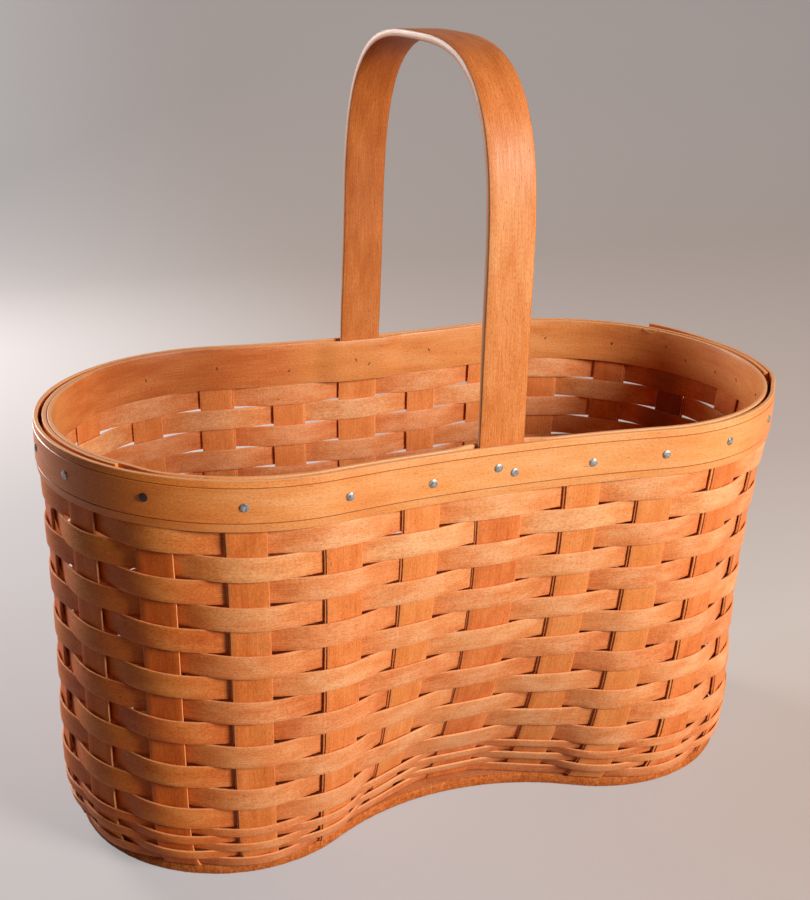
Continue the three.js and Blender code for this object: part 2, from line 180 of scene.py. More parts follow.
def paintedShadeAt(turn):
    # painted shade: above 0 on the outside, below 0 on the inside
    endward = wallNormal(turn, bandMiddle).x
    outside = smooth(-endward, 0, handMade["leftEndShadeSpan"])
    inside = smooth(endward, handMade["rightInsideShadeFrom"], handMade["rightInsideShadeSpan"])
    inside -= handMade["paleTip"] * smooth(endward, handMade["paleTipFrom"], handMade["paleTipSpan"])
    return handMade["leftEndShade"] * outside - handMade["rightInsideShade"] * inside


def paleAt(turn):
    return handMade["paleWaist"] * smooth(1 - abs(turn % 1 - handMade["paleTurn"]) / handMade["paleHalf"])


def uprightTurn(k, height):
    rim, foot = handMade["drift"].get(k % basket["uprights"], (0.0, 0.0))
    share = min(max(height / basket["rimHeight"], 0), 1)
    return k / basket["uprights"] + (foot + (rim - foot) * share) / rimLength


def uprightsPassed(turn, height):
    # counts uprights from the +X end, with a fraction between two of them
    guess = floor(turn * basket["uprights"])
    for k in (guess - 1, guess, guess + 1):
        start, end = uprightTurn(k, height), uprightTurn(k + 1, height)
        if start <= turn < end:
            return k + (turn - start) / (end - start)


# Colours are sRGB hex values
def toLinear(hexColour):
    channels = [int(hexColour[i:i + 2], 16) / 255 for i in (1, 3, 5)]
    return tuple(c / 12.92 if c <= 0.04045 else ((c + 0.055) / 1.055) ** 2.4 for c in channels) + (1.0,)


def addNode(tree, kind, settings=None, links=None):
    node = tree.nodes.new(kind)
    for key, value in (settings or {}).items():
        setattr(node, key, value)
    for socket, source in (links or {}).items():
        if isinstance(source, bpy.types.NodeSocket):
            tree.links.new(source, node.inputs[socket])
        else:
            node.inputs[socket].default_value = source
    return node


# Settings that many nodes share
multiply = {"operation": "MULTIPLY"}
multiplyAdd = {"operation": "MULTIPLY_ADD"}
mixColours = {"data_type": "RGBA"}


def clearedTree(owner):
    # the node tree of a material or of the world, emptied
    owner.use_nodes = True
    owner.node_tree.nodes.clear()
    return owner.node_tree


def linkObject(name, data):
    piece = bpy.data.objects.new(name, data)
    bpy.context.scene.collection.objects.link(piece)
    return piece


# Stained and varnished maple. Each pattern is (length along the grain, width across it) in mm.
# "shift" says how far each pattern, the strip's tint and the rubbing of proud places, with painted shade
# where a strip dips in, move the tone.
# each look's last colour is multiplied in where shade is painted
splintLooks = {
    # thin sliced splint, woven level: warm and even to the eye, finely speckled, with cut edges left paler,
    # partly a painted highlight where they catch the light
    "slicedMapleWeaver": {
        "deep": "#CC692E", "warm": "#E68C50", "pale": "#F4AE78",
        "fleck": "#7A3814", "edge": "#F0B27C", "aged": "#FFD472",
        "mottle": (16.0, 7.0), "fibre": (14.0, 0.55), "speckle": (1.3, 0.7),
        "dash": (3.4, 0.42), "scrape": (0.8, 30.0),
        "shift": {"mottle": 1.05, "fibre": 0.6, "scrape": 0.3, "tint": 0.3, "rubAndShade": 0.42},
        "speckling": 0.42, "dashes": 0.5, "edgeShare": 0.55,
        "roughness": 0.5, "gloss": 0.2, "coat": 0.04, "bump": 0.2,
    },
    # the same stock set upright, less handled: it kept a deeper stain, with fine upright lines
    "slicedMapleUpright": {
        "deep": "#C96426", "warm": "#E38240", "pale": "#F09A5A",
        "fleck": "#6E3010", "edge": "#EFAA70", "aged": "#FFD472",
        "mottle": (20.0, 8.0), "fibre": (30.0, 0.7), "speckle": (1.3, 0.7),
        "dash": (4.0, 0.42), "scrape": (0.9, 30.0),
        "shift": {"mottle": 0.95, "fibre": 0.75, "scrape": 0.2, "tint": 0.3, "rubAndShade": 0.2},
        "speckling": 0.34, "dashes": 0.45, "edgeShare": 0.7,
        "roughness": 0.52, "gloss": 0.18, "coat": 0.03, "bump": 0.2,
    },
    # thicker maple bent with steam: more varnish and a calmer grain, painted shade in its two creases
    "bentMapleBand": {
        "deep": "#CE7030", "warm": "#EA944E", "pale": "#F4AE72",
        "fleck": "#6E3212", "edge": "#F2B47E", "aged": "#FFD472",
        "mottle": (34.0, 9.0), "fibre": (26.0, 0.6), "speckle": (1.4, 0.7),
        "dash": (4.5, 0.45), "scrape": (0.9, 40.0),
        "shift": {"mottle": 0.95, "fibre": 0.65, "scrape": 0.15, "tint": 0.5, "rubAndShade": 0.3},
        "speckling": 0.36, "dashes": 0.5, "edgeShare": 0.6,
        "roughness": 0.46, "gloss": 0.27, "coat": 0.17, "bump": 0.18,
    },
    # bent maple rubbed by hands: satin, streaked along its length, with brown dashes and a worn pale edge
    "bentMapleHandle": {
        "deep": "#B05A1E", "warm": "#D27A38", "pale": "#E69A5E",
        "fleck": "#5E2A12", "edge": "#C09270", "aged": "#FFD472",
        "mottle": (26.0, 8.0), "fibre": (17.0, 0.6), "speckle": (1.6, 0.6),
        "dash": (5.5, 0.5), "scrape": (0.9, 30.0),
        "shift": {"mottle": 0.8, "fibre": 0.9, "scrape": 0.1, "tint": 0.3, "rubAndShade": 0.5},
        "speckling": 0.4, "dashes": 0.6, "edgeShare": 0.6,
        "roughness": 0.48, "gloss": 0.22, "coat": 0.02, "bump": 0.24,
    },
    # the flat faces of the sawn boards: the same stain, duller and blotched
    "sawnMapleBoard": {
        "deep": "#8F5126", "warm": "#B9713C", "pale": "#CF9160",
        "fleck": "#5A2A12", "edge": "#C08A5C", "aged": "#FFFFFF",
        "mottle": (40.0, 12.0), "fibre": (45.0, 0.9), "speckle": (1.4, 0.9),
        "dash": (6.0, 0.5), "scrape": (1.2, 30.0),
        "shift": {"mottle": 1.2, "fibre": 0.9, "scrape": 0.2},
        "speckling": 0.5, "dashes": 0.6, "edgeShare": 0.0,
        "roughness": 0.6, "gloss": 0.25, "coat": 0.0, "bump": 0.35,
    },
    # the sawn edge of the board: end grain that drank the stain unevenly, with upright saw marks
    "sawnMapleEdge": {
        "deep": "#9E5018", "warm": "#C66A28", "pale": "#DA8A48",
        "fleck": "#62290E", "edge": "#C08A5C", "aged": "#FFFFFF",
        "mottle": (9.0, 5.0), "fibre": (0.9, 5.0), "speckle": (1.2, 1.2),
        "dash": (0.8, 2.4), "scrape": (1.6, 30.0),
        "shift": {"mottle": 0.8, "fibre": 0.9, "scrape": 0.5},
        "speckling": 0.75, "dashes": 0.7, "edgeShare": 0.0,
        "roughness": 0.68, "gloss": 0.2, "coat": 0.0, "bump": 0.5,
    },
}
# What all the wood has in common. A span is where in its pattern a mark comes in, from nothing to full.
stain = {
    "detail": {"mottle": 2.0, "fibre": 3.0, "speckle": 1.5, "dash": 1.0, "scrape": 1.0},
    "patternRoughness": 0.55,
    "innerShade": 0.84,                 # painted shade: brightness of a strip's inner face
    "deepShade": 0.4,                   # and of a strip whose tint has fallen to -1
    "pinkHue": 0.4962,                  # one strip took the stain more pink
    "goldenHue": 0.502,                 # and another more golden
    "speckleSpan": (0.25, 0.75),
    "dashSpan": (0.66, 0.74),
    # pale edges: partly paler cut wood, partly a painted highlight where edges catch the light
    "edgeSpan": (0.965, 0.992),
    # darkening: painted shade in the outer band's creases, and darker eased corners on the handle
    "darkeningSpan": (0.35, 1.0),
    "darkeningShare": 0.75,
    "fibreSpan": (0.3, 0.7),
    "roughnessSwing": 0.07,
    "speckleRelief": 0.6,
    "reliefDepth": 0.3,                 # mm
    "ior": 1.5,
    "coatRoughness": 0.28,
}


def makeSplintMaterial(name, look):
    material = bpy.data.materials.new(name)
    tree = clearedTree(material)
    # grain: metres along and across the strip, and a seed. Next: side from edge to edge, rubbing with painted
    # shade where a strip dips in, and darkening.
    # tint: the strip's own tone, in places lowered as painted shade. Then how much shade is painted, 0 to 1.
    # facing: 1 on the outer face and -1 on the inner one.
    read = {key: addNode(tree, "ShaderNodeAttribute", {"attribute_name": key})
            for key in ("grain", "wear", "tint", "aged", "facing")}
    worn = addNode(tree, "ShaderNodeSeparateXYZ", {}, {"Vector": read["wear"].outputs["Vector"]})
    sources = {"tint": read["tint"].outputs["Fac"], "rubAndShade": worn.outputs["Y"]}
    for key, detail in stain["detail"].items():
        along, across = look[key]
        placed = addNode(tree, "ShaderNodeMapping", {}, {
            "Vector": read["grain"].outputs["Vector"], "Scale": (1 / (along * mm), 1 / (across * mm), 1)})
        pattern = addNode(tree, "ShaderNodeTexNoise", {}, {
            "Vector": placed.outputs["Vector"], "Scale": 1.0, "Detail": detail,
            "Roughness": stain["patternRoughness"]})
        sources[key] = pattern.outputs["Fac"]
    # the tone of the stain runs from 0, deep, to 1, pale
    tone = 0.5 - sum(look["shift"].values()) / 2
    for key, amount in look["shift"].items():
        step = addNode(tree, "ShaderNodeMath", multiplyAdd, {0: sources[key], 1: amount, 2: tone})
        tone = step.outputs["Value"]
    ramp = addNode(tree, "ShaderNodeValToRGB", {}, {"Fac": tone})
    ramp.color_ramp.elements[0].color = toLinear(look["deep"])
    ramp.color_ramp.elements[1].color = toLinear(look["pale"])
    ramp.color_ramp.elements.new(0.5).color = toLinear(look["warm"])
    # pores too fine to show one by one are drawn as specks of about a millimetre
    start, end = stain["speckleSpan"]
    specks = addNode(tree, "ShaderNodeMapRange", {}, {
        "Value": sources["speckle"], "From Min": start, "From Max": end,
        "To Min": 1 - look["speckling"] / 2, "To Max": 1 + look["speckling"] / 2})
    # painted shade: the inner faces are darker, and darker still where the tint has fallen below 0
    shade = addNode(tree, "ShaderNodeMapRange", {}, {
        "Value": read["facing"].outputs["Fac"], "From Min": -1.0, "From Max": 1.0,
        "To Min": stain["innerShade"], "To Max": 1.0})
    depth = addNode(tree, "ShaderNodeMapRange", {}, {
        "Value": sources["tint"], "From Min": -1.0, "From Max": 0.0,
        "To Min": stain["deepShade"], "To Max": 1.0})
    value = addNode(tree, "ShaderNodeMath", multiply, {
        0: shade.outputs["Result"], 1: depth.outputs["Result"]})
    value = addNode(tree, "ShaderNodeMath", multiply, {
        0: value.outputs["Value"], 1: specks.outputs["Result"]})
    hue = addNode(tree, "ShaderNodeMapRange", {}, {
        "Value": sources["tint"], "To Min": stain["pinkHue"], "To Max": stain["goldenHue"]})
    speckled = addNode(tree, "ShaderNodeHueSaturation", {}, {
        "Color": ramp.outputs["Color"], "Hue": hue.outputs["Result"], "Value": value.outputs["Value"]})
    # painted shade: darker and redder on the outside of the left end and inside the right end
    darkened = addNode(tree, "ShaderNodeMix", {"data_type": "RGBA", "blend_type": "MULTIPLY"}, {
        "Factor": read["aged"].outputs["Fac"], "A": speckled.outputs["Color"], "B": toLinear(look["aged"])})
    colour = darkened.outputs["Result"]
    # short brown dashes in the grain, cut edges left pale, partly a painted highlight, and darkening: painted
    # shade in the band's creases and darker eased corners on the handle
    side = addNode(tree, "ShaderNodeMath", {"operation": "ABSOLUTE"}, {0: worn.outputs["X"]})
    for source, (start, end), share, mark in (
            (sources["dash"], stain["dashSpan"], look["dashes"], look["fleck"]),
            (side.outputs["Value"], stain["edgeSpan"], look["edgeShare"], look["edge"]),
            (worn.outputs["Z"], stain["darkeningSpan"], stain["darkeningShare"], look["fleck"])):
        mask = addNode(tree, "ShaderNodeMapRange", {}, {
            "Value": source, "From Min": start, "From Max": end, "To Max": share})
        mixed = addNode(tree, "ShaderNodeMix", mixColours, {
            "Factor": mask.outputs["Result"], "A": colour, "B": toLinear(mark)})
        colour = mixed.outputs["Result"]
    start, end = stain["fibreSpan"]
    roughness = addNode(tree, "ShaderNodeMapRange", {}, {
        "Value": sources["fibre"], "From Min": start, "From Max": end,
        "To Min": look["roughness"] + stain["roughnessSwing"],
        "To Max": look["roughness"] - stain["roughnessSwing"]})
    relief = addNode(tree, "ShaderNodeMath", multiplyAdd, {
        0: sources["speckle"], 1: stain["speckleRelief"], 2: sources["fibre"]})
    bump = addNode(tree, "ShaderNodeBump", {}, {
        "Height": relief.outputs["Value"], "Strength": look["bump"], "Distance": stain["reliefDepth"] * mm})
    surface = addNode(tree, "ShaderNodeBsdfPrincipled", {}, {
        "Base Color": colour, "Roughness": roughness.outputs["Result"], "Normal": bump.outputs["Normal"],
        "IOR": stain["ior"], "Specular IOR Level": look["gloss"], "Coat Weight": look["coat"],
        "Coat Roughness": stain["coatRoughness"]})
    addNode(tree, "ShaderNodeOutputMaterial", {}, {"Surface": surface.outputs["BSDF"]})
    return material


# Steel of the nails: its dark and its light as (place in the pattern, colour), and its patches' size in mm
steelLooks = {
    # zinc coated, dulled by years: pale grey with darker patches, and one head gone to rust
    "zincCoatedSteel": {
        "dark": (0.35, "#6E6C6A"), "light": (0.6, "#B9B6B0"), "rust": "#3A2620", "patch": 1.2, "detail": 3.0,
        "roughness": 0.42, "metallic": 0.6,
    },
    # the bare bent point of a nail, rusted dark where it bites the wood
    "rustedSteelPoint": {
        "dark": (0.0, "#4A2A18"), "light": (1.0, "#8A6244"), "rust": "#3A2620", "patch": 0.7, "detail": 2.0,
        "roughness": 0.55, "metallic": 0.3,
    },
}


def makeSteelMaterial(name, look):
    material = bpy.data.materials.new(name)
    tree = clearedTree(material)
    place = addNode(tree, "ShaderNodeTexCoord")
    rust = addNode(tree, "ShaderNodeAttribute", {"attribute_name": "rust"})
    patches = addNode(tree, "ShaderNodeTexNoise", {}, {
        "Vector": place.outputs["Object"], "Scale": 1 / (look["patch"] * mm), "Detail": look["detail"]})
    ramp = addNode(tree, "ShaderNodeValToRGB", {}, {"Fac": patches.outputs["Fac"]})
    for i, (position, colour) in enumerate((look["dark"], look["light"])):
        ramp.color_ramp.elements[i].position = position
        ramp.color_ramp.elements[i].color = toLinear(colour)
    rusted = addNode(tree, "ShaderNodeMix", mixColours, {
        "Factor": rust.outputs["Fac"], "A": ramp.outputs["Color"], "B": toLinear(look["rust"])})
    surface = addNode(tree, "ShaderNodeBsdfPrincipled", {}, {
        "Base Color": rusted.outputs["Result"], "Roughness": look["roughness"], "Metallic": look["metallic"]})
    addNode(tree, "ShaderNodeOutputMaterial", {}, {"Surface": surface.outputs["BSDF"]})
    return material


materials = {name: makeSplintMaterial(name, look) for name, look in splintLooks.items()}
materials.update((name, makeSteelMaterial(name, look)) for name, look in steelLooks.items())
print("materials made:", len(materials))


# One strip of wood bent along a path. The path carries a place for the strip's middle and two directions,
# and the outline of its section carries how far each corner lies across and through it.
pathColumns = {
    "centre": ("FLOAT_VECTOR", mm), "outward": ("FLOAT_VECTOR", 1.0), "sideways": ("FLOAT_VECTOR", 1.0),
    "along": ("FLOAT", mm), "slim": ("FLOAT", 1.0), "proud": ("FLOAT", 1.0), "tint": ("FLOAT", 1.0),
    "aged": ("FLOAT", 1.0),
}
profileColumns = {"across": mm, "depth": mm, "dirt": 1.0}
cornerCut = 0.3     # how far the middle of an eased corner is cut back, as a share of its size


def profileObject(name, corners):
    # corners in mm: across the width, through the thickness, and 1 where the colour is darkened
    count = len(corners)
    mesh = bpy.data.meshes.new(name)
    mesh.from_pydata([(across * mm, depth * mm, 0) for across, depth, dirt in corners],
                     [(i, (i + 1) % count) for i in range(count)], [])
    for column, (key, scale) in enumerate(profileColumns.items()):
        values = mesh.attributes.new(key, "FLOAT", "POINT")
        values.data.foreach_set("value", [corner[column] * scale for corner in corners])
    return linkObject(name, mesh)


def stripProfile(name, look):
    # rectangle with eased corners, which may be darkened, and wide faces cut into steps so that they can cup
    width, ease, steps, cornerDarkening = look["width"], look["ease"], look["faceSteps"], look.get("cornerDarkening", 0.0)
    halfW, halfT, cut = width / 2, look["thickness"] / 2, ease * cornerCut
    corners = [(-halfW + ease + (width - 2 * ease) * i / steps, halfT) for i in range(steps + 1)]
    corners += [(halfW - cut, halfT - cut), (halfW, halfT - ease)]
    corners += [(halfW, -halfT + ease), (halfW - cut, -halfT + cut)]
    corners += [(-x, -y) for x, y in corners]
    darkenings = [cornerDarkening if abs(x) > halfW - ease / 2 and abs(y) > halfT - ease / 2 else 0.0 for x, y in corners]
    return profileObject(name, [(x, y, dirt) for (x, y), dirt in zip(corners, darkenings)])


def spotAt(centre, outward, sideways, along, slim=1.0, proud=0.0, tint=0.5, aged=0.0):
    return {"centre": centre, "outward": outward, "sideways": sideways, "along": along, "slim": slim,
            "proud": proud, "tint": tint, "aged": aged}


def pathObject(name, spots):
    mesh = bpy.data.meshes.new(name)
    mesh.from_pydata([spot["centre"] * mm for spot in spots], [(i, i + 1) for i in range(len(spots) - 1)], [])
    for key, (kind, scale) in pathColumns.items():
        values = mesh.attributes.new(key, kind, "POINT")
        if kind == "FLOAT":
            values.data.foreach_set("value", [spot[key] * scale for spot in spots])
        else:
            values.data.foreach_set("vector", [part * scale for spot in spots for part in spot[key]])
    return linkObject(name, mesh)


# How a strip's edges stray: waves in a metre, their place in the noise, and the input that sets their size
stripWaves = {
    "shift": (11.0, 0.0, "Waver"), "swell": (17.0, 40.0, "Swell"),
    "frayHigh": (420.0, 90.0, "Fray"), "frayLow": (420.0, 150.0, "Fray"),
}
stripWear = {
    "seedStep": 7.31,                   # how far apart the waves of two strips start
    "frayPower": 6.0,                   # keeps the fraying to the edges
    "insideShadeDeepening": 1.6,             # painted shade on the weave inside is deepened as well as reddened
}


def newTree(name, inputs):
    # takes and gives geometry, and paints it with a material
    tree = bpy.data.node_groups.new(name, "GeometryNodeTree")
    for label, kind in {"Geometry": "Geometry", **inputs, "Material": "Material"}.items():
        tree.interface.new_socket(label, in_out="INPUT", socket_type="NodeSocket" + kind)
    tree.interface.new_socket("Geometry", in_out="OUTPUT", socket_type="NodeSocketGeometry")
    return tree, addNode(tree, "NodeGroupInput").outputs


def finishTree(tree, geometry, material):
    real = addNode(tree, "GeometryNodeRealizeInstances", {}, {"Geometry": geometry})
    painted = addNode(tree, "GeometryNodeSetMaterial", {}, {
        "Geometry": real.outputs["Geometry"], "Material": material})
    addNode(tree, "NodeGroupOutput", {}, {"Geometry": painted.outputs["Geometry"]})
    return tree


def makeBentStripTree():
    tree, given = newTree("bentStrip", {
        "Profile": "Object", "Half Width": "Float", "Waver": "Float", "Swell": "Float", "Fray": "Float",
        "Cup": "Float", "Seed": "Float"})
    section = addNode(tree, "GeometryNodeObjectInfo", {}, {"Object": given["Profile"]})
    sectionCurve = addNode(tree, "GeometryNodeMeshToCurve", {}, {"Mesh": section.outputs["Geometry"]})
    pathCurve = addNode(tree, "GeometryNodeMeshToCurve", {}, {"Mesh": given["Geometry"]})
    swept = addNode(tree, "GeometryNodeCurveToMesh", {}, {
        "Curve": pathCurve.outputs["Curve"], "Profile Curve": sectionCurve.outputs["Curve"],
        "Fill Caps": True})
    kinds = {name: kind for name, (kind, scale) in pathColumns.items()}
    kinds.update(dict.fromkeys(profileColumns, "FLOAT"))
    read = {}
    for name, kind in kinds.items():
        found = addNode(tree, "GeometryNodeInputNamedAttribute", {"data_type": kind}, {"Name": name})
        read[name] = found.outputs["Attribute"]

    # smooth random waves along the strip, each from minus to plus its input
    waves = {}
    for name, (perMetre, offset, amount) in stripWaves.items():
        start = addNode(tree, "ShaderNodeMath", multiplyAdd, {
            0: given["Seed"], 1: stripWear["seedStep"], 2: offset})
        run = addNode(tree, "ShaderNodeMath", multiplyAdd, {
            0: read["along"], 1: perMetre, 2: start.outputs[0]})
        wave = addNode(tree, "ShaderNodeTexNoise", {"noise_dimensions": "1D"}, {
            "W": run.outputs[0], "Scale": 1.0, "Detail": 2.0})
        centred = addNode(tree, "ShaderNodeMath", multiplyAdd, {0: wave.outputs[0], 1: 2.0, 2: -1.0})
        scaled = addNode(tree, "ShaderNodeMath", multiply, {0: centred.outputs[0], 1: given[amount]})
        waves[name] = scaled.outputs[0]

    # side runs from -1 at the lower edge to 1 at the upper one
    side = addNode(tree, "ShaderNodeMath", {"operation": "DIVIDE"}, {
        0: read["across"], 1: given["Half Width"]})
    across = addNode(tree, "ShaderNodeMath", {"operation": "ADD"}, {0: read["across"], 1: waves["shift"]})
    across = addNode(tree, "ShaderNodeMath", multiplyAdd, {
        0: side.outputs[0], 1: waves["swell"], 2: across.outputs[0]})
    for sign, wave in ((1.0, waves["frayHigh"]), (-1.0, waves["frayLow"])):
        edge = addNode(tree, "ShaderNodeMath", multiply, {0: side.outputs[0], 1: sign})
        edge = addNode(tree, "ShaderNodeMath", {"operation": "MAXIMUM"}, {0: edge.outputs[0], 1: 0.0})
        edge = addNode(tree, "ShaderNodeMath", {"operation": "POWER"}, {
            0: edge.outputs[0], 1: stripWear["frayPower"]})
        across = addNode(tree, "ShaderNodeMath", multiplyAdd, {
            0: edge.outputs[0], 1: wave, 2: across.outputs[0]})
    squared = addNode(tree, "ShaderNodeMath", multiply, {0: side.outputs[0], 1: side.outputs[0]})
    cup = addNode(tree, "ShaderNodeMath", multiply, {0: squared.outputs[0], 1: given["Cup"]})
    thick = addNode(tree, "ShaderNodeMath", multiply, {0: read["depth"], 1: read["slim"]})
    depth = addNode(tree, "ShaderNodeMath", {"operation": "SUBTRACT"}, {
        0: thick.outputs[0], 1: cup.outputs[0]})
    sideMove = addNode(tree, "ShaderNodeVectorMath", {"operation": "SCALE"}, {
        0: read["sideways"], "Scale": across.outputs[0]})
    outMove = addNode(tree, "ShaderNodeVectorMath", {"operation": "SCALE"}, {
        0: read["outward"], "Scale": depth.outputs[0]})
    moved = addNode(tree, "ShaderNodeVectorMath", {"operation": "ADD"}, {
        0: sideMove.outputs[0], 1: outMove.outputs[0]})
    place = addNode(tree, "ShaderNodeVectorMath", {"operation": "ADD"}, {
        0: read["centre"], 1: moved.outputs[0]})
    shaped = addNode(tree, "GeometryNodeSetPosition", {}, {
        "Geometry": swept.outputs["Mesh"], "Position": place.outputs[0]})

    # what the materials read: the place on the strip, how worn it is on the face that stands proud, and
    # painted shade on the face that dips in
    grainAcross = addNode(tree, "ShaderNodeMath", {"operation": "ADD"}, {0: read["across"], 1: read["depth"]})
    grain = addNode(tree, "ShaderNodeCombineXYZ", {}, {
        "X": read["along"], "Y": grainAcross.outputs[0], "Z": given["Seed"]})
    facing = addNode(tree, "ShaderNodeMath", {"operation": "SIGN"}, {0: read["depth"]})
    proud = addNode(tree, "ShaderNodeMath", multiply, {0: facing.outputs[0], 1: read["proud"]})
    # paler where a face stands proud, as rubbed, and darker where it dips in, as painted shade
    rubAndShade = addNode(tree, "ShaderNodeMath", multiplyAdd, {0: proud.outputs[0], 1: 0.5, 2: 0.5})
    wear = addNode(tree, "ShaderNodeCombineXYZ", {}, {
        "X": side.outputs[0], "Y": rubAndShade.outputs[0], "Z": read["dirt"]})
    # painted shade, kept on the outer face where it is above 0 and on the inner face where it is below 0,
    # where it also lowers the tint
    aged = addNode(tree, "ShaderNodeMath", multiply, {0: facing.outputs[0], 1: read["aged"]})
    aged = addNode(tree, "ShaderNodeMath", {"operation": "MAXIMUM"}, {0: aged.outputs[0], 1: 0.0})
    deeper = addNode(tree, "ShaderNodeMath", {"operation": "MINIMUM"}, {0: read["aged"], 1: 0.0})
    deeper = addNode(tree, "ShaderNodeMath", multiply, {0: deeper.outputs[0], 1: aged.outputs[0]})
    tint = addNode(tree, "ShaderNodeMath", multiplyAdd, {
        0: deeper.outputs[0], 1: stripWear["insideShadeDeepening"], 2: read["tint"]})
    kept = shaped.outputs["Geometry"]
    for name, kind, value in (("grain", "FLOAT_VECTOR", grain), ("wear", "FLOAT_VECTOR", wear),
                              ("tint", "FLOAT", tint), ("aged", "FLOAT", aged), ("facing", "FLOAT", facing)):
        stored = addNode(tree, "GeometryNodeStoreNamedAttribute", {"data_type": kind}, {
            "Geometry": kept, "Name": name, "Value": value.outputs[0]})
        kept = stored.outputs["Geometry"]
    return finishTree(tree, kept, given["Material"])


bentStrip = makeBentStripTree()


def bakeModifier(piece, tree, values):
    # sets the modifier's inputs by identifier, takes the result as a plain mesh and drops the modifier
    modifier = piece.modifiers.new("shape", "NODES")
    modifier.node_group = tree
    for item in tree.interface.items_tree:
        if item.item_type == "SOCKET" and item.in_out == "INPUT" and item.name in values:
            modifier[item.identifier] = values[item.name]
    bpy.context.view_layer.update()
    evaluated = piece.evaluated_get(bpy.context.evaluated_depsgraph_get())
    mesh = bpy.data.meshes.new_from_object(evaluated)
    piece.modifiers.remove(modifier)
    return mesh


sharpAngle = radians(32)


def volumeOf(mesh):
    # six times the volume, and below 0 for a mesh that is inside out
    mesh.calc_loop_triangles()
    volume = 0.0
    for triangle in mesh.loop_triangles:
        a, b, c = (mesh.vertices[i].co for i in triangle.vertices)
        volume += a.dot(b.cross(c))
    return volume


def finishMesh(mesh, name):
    if volumeOf(mesh) < 0:
        mesh.flip_normals()
    # what only the tree has read is dropped, and what the materials read stays
    spent = set(pathColumns) | set(profileColumns)
    for attribute in [a.name for a in mesh.attributes if a.name in spent - {"tint", "aged"}]:
        mesh.attributes.remove(mesh.attributes[attribute])
    mesh.polygons.foreach_set("use_smooth", [True] * len(mesh.polygons))
    mesh.set_sharp_from_angle(angle=sharpAngle)
    mesh.name = name
    return mesh


def joinMeshes(name, meshes):
    pieces = [linkObject(name + "Part", mesh) for mesh in meshes]
    bpy.ops.object.select_all(action="DESELECT")
    for piece in pieces:
        piece.select_set(True)
    bpy.context.view_layer.objects.active = pieces[0]
    bpy.ops.object.join()
    pieces[0].name = name
    pieces[0].data.name = name
    return pieces[0]


def bendStrip(name, spots, profile, look, wood):
    path = pathObject(name + "Path", spots)
    values = {"Profile": profile, "Half Width": look["width"] / 2 * mm, "Seed": float(look["seed"]),
              "Material": materials[wood]}
    values.update((label, look[label.lower()] * mm) for label in ("Waver", "Swell", "Fray", "Cup"))
    mesh = bakeModifier(path, bentStrip, values)
    bpy.data.objects.remove(path)
    return finishMesh(mesh, name)


def putOn(piece, slot, *nodes):
    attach(piece, "root")
    if nodes:
        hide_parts(*nodes)


def fitStrip(name, spots, profile, look, wood, slot, *nodes):
    mesh = bendStrip(name, spots, profile, look, wood)
    putOn(linkObject(name, mesh), slot, *nodes)
    bpy.data.objects.remove(profile)


# Weavers, numbered from the top: thirteen wide rows and five narrow ones
wideWeaver = {
    "width": 12.6, "thickness": 1.05, "waver": 0.06, "swell": 0.08, "fray": 0.08, "cup": 0.05,
    "bow": 2.15, "rows": 13, "pitch": 13.0, "step": 2.4, "ease": 0.2, "faceSteps": 6,
}
narrowWeaver = {
    "width": 5.2, "thickness": 1.1, "waver": 0.05, "swell": 0.06, "fray": 0.08, "cup": 0.0,
    "bow": 2.05, "rows": 5, "pitch": 5.4, "step": 2.4, "ease": 0.2, "faceSteps": 3,
}
weave = {
    "seams": (7, 8),                    # even and odd rows have their ends outside these, on the far side
    "endGap": 0.4,                      # between the two ends
    "lastDrop": 1.2,                    # the last row lies on the board
    "bowSpread": (0.9, 1.12),
    "tintSpread": 0.65,
    "goldenTint": 0.45,                 # the upper rows are more golden
    "goldenRows": 6,
    "goldenSpan": 5,
    "randomSeed": 11,
    "seedStep": 3.7,
}
rowCount = wideWeaver["rows"] + narrowWeaver["rows"]


def rowEdge(edge, turn):
    # height of the line between two rows, number 0 under the bands, which strays a little from the level
    wide = min(edge, wideWeaver["rows"])
    height = basket["bandBottom"] - wide * wideWeaver["pitch"] - (edge - wide) * narrowWeaver["pitch"]
    if edge == rowCount:
        height -= weave["lastDrop"]
    angle, quickness = 2 * pi * turn, handMade["wanderRound"]
    stray = noise(Vector((cos(angle) * quickness, sin(angle) * quickness, edge * handMade["wanderStep"])))
    share = smooth(min(edge, rowCount - edge), 0, handMade["wanderRows"])
    return height + stray * handMade["rowWander"] * share


def weaverSpots(row, look, rng):
    seam = weave["seams"][row % 2] / basket["uprights"]
    steps = int(rimLength / look["step"])
    bows = [look["bow"] * rng.uniform(*weave["bowSpread"]) for k in range(basket["uprights"])]
    tint = rng.uniform(0, weave["tintSpread"])
    tint += weave["goldenTint"] * smooth(weave["goldenRows"] - row, 0, weave["goldenSpan"])

    def placed(i):
        # the strip's lower and upper edge, and how proud it stands
        turn = seam + i / steps * (1 - weave["endGap"] / rimLength)
        low, high = rowEdge(row, turn), rowEdge(row - 1, turn)
        near = uprightsPassed(turn, (low + high) / 2)
        k = round(near)
        proud = (1 if (row + k) % 2 else -1) * cos(pi * (near - k))
        out = proud * bows[k % basket["uprights"]]
        return wallPoint(turn, low, out), wallPoint(turn, high, out), proud

    spots = []
    for i in range(steps + 1):
        turn = seam + i / steps
        low, high, proud = placed(i)
        before, after = placed(i - 0.5), placed(i + 0.5)
        outward = (after[0] + after[1] - before[0] - before[1]).cross(high - low).normalized()
        spots.append(spotAt((low + high) / 2, outward, (high - low) / look["pitch"], i / steps * rimLength,
                            proud=proud, tint=tint + paleAt(turn), aged=paintedShadeAt(turn)))
    return spots


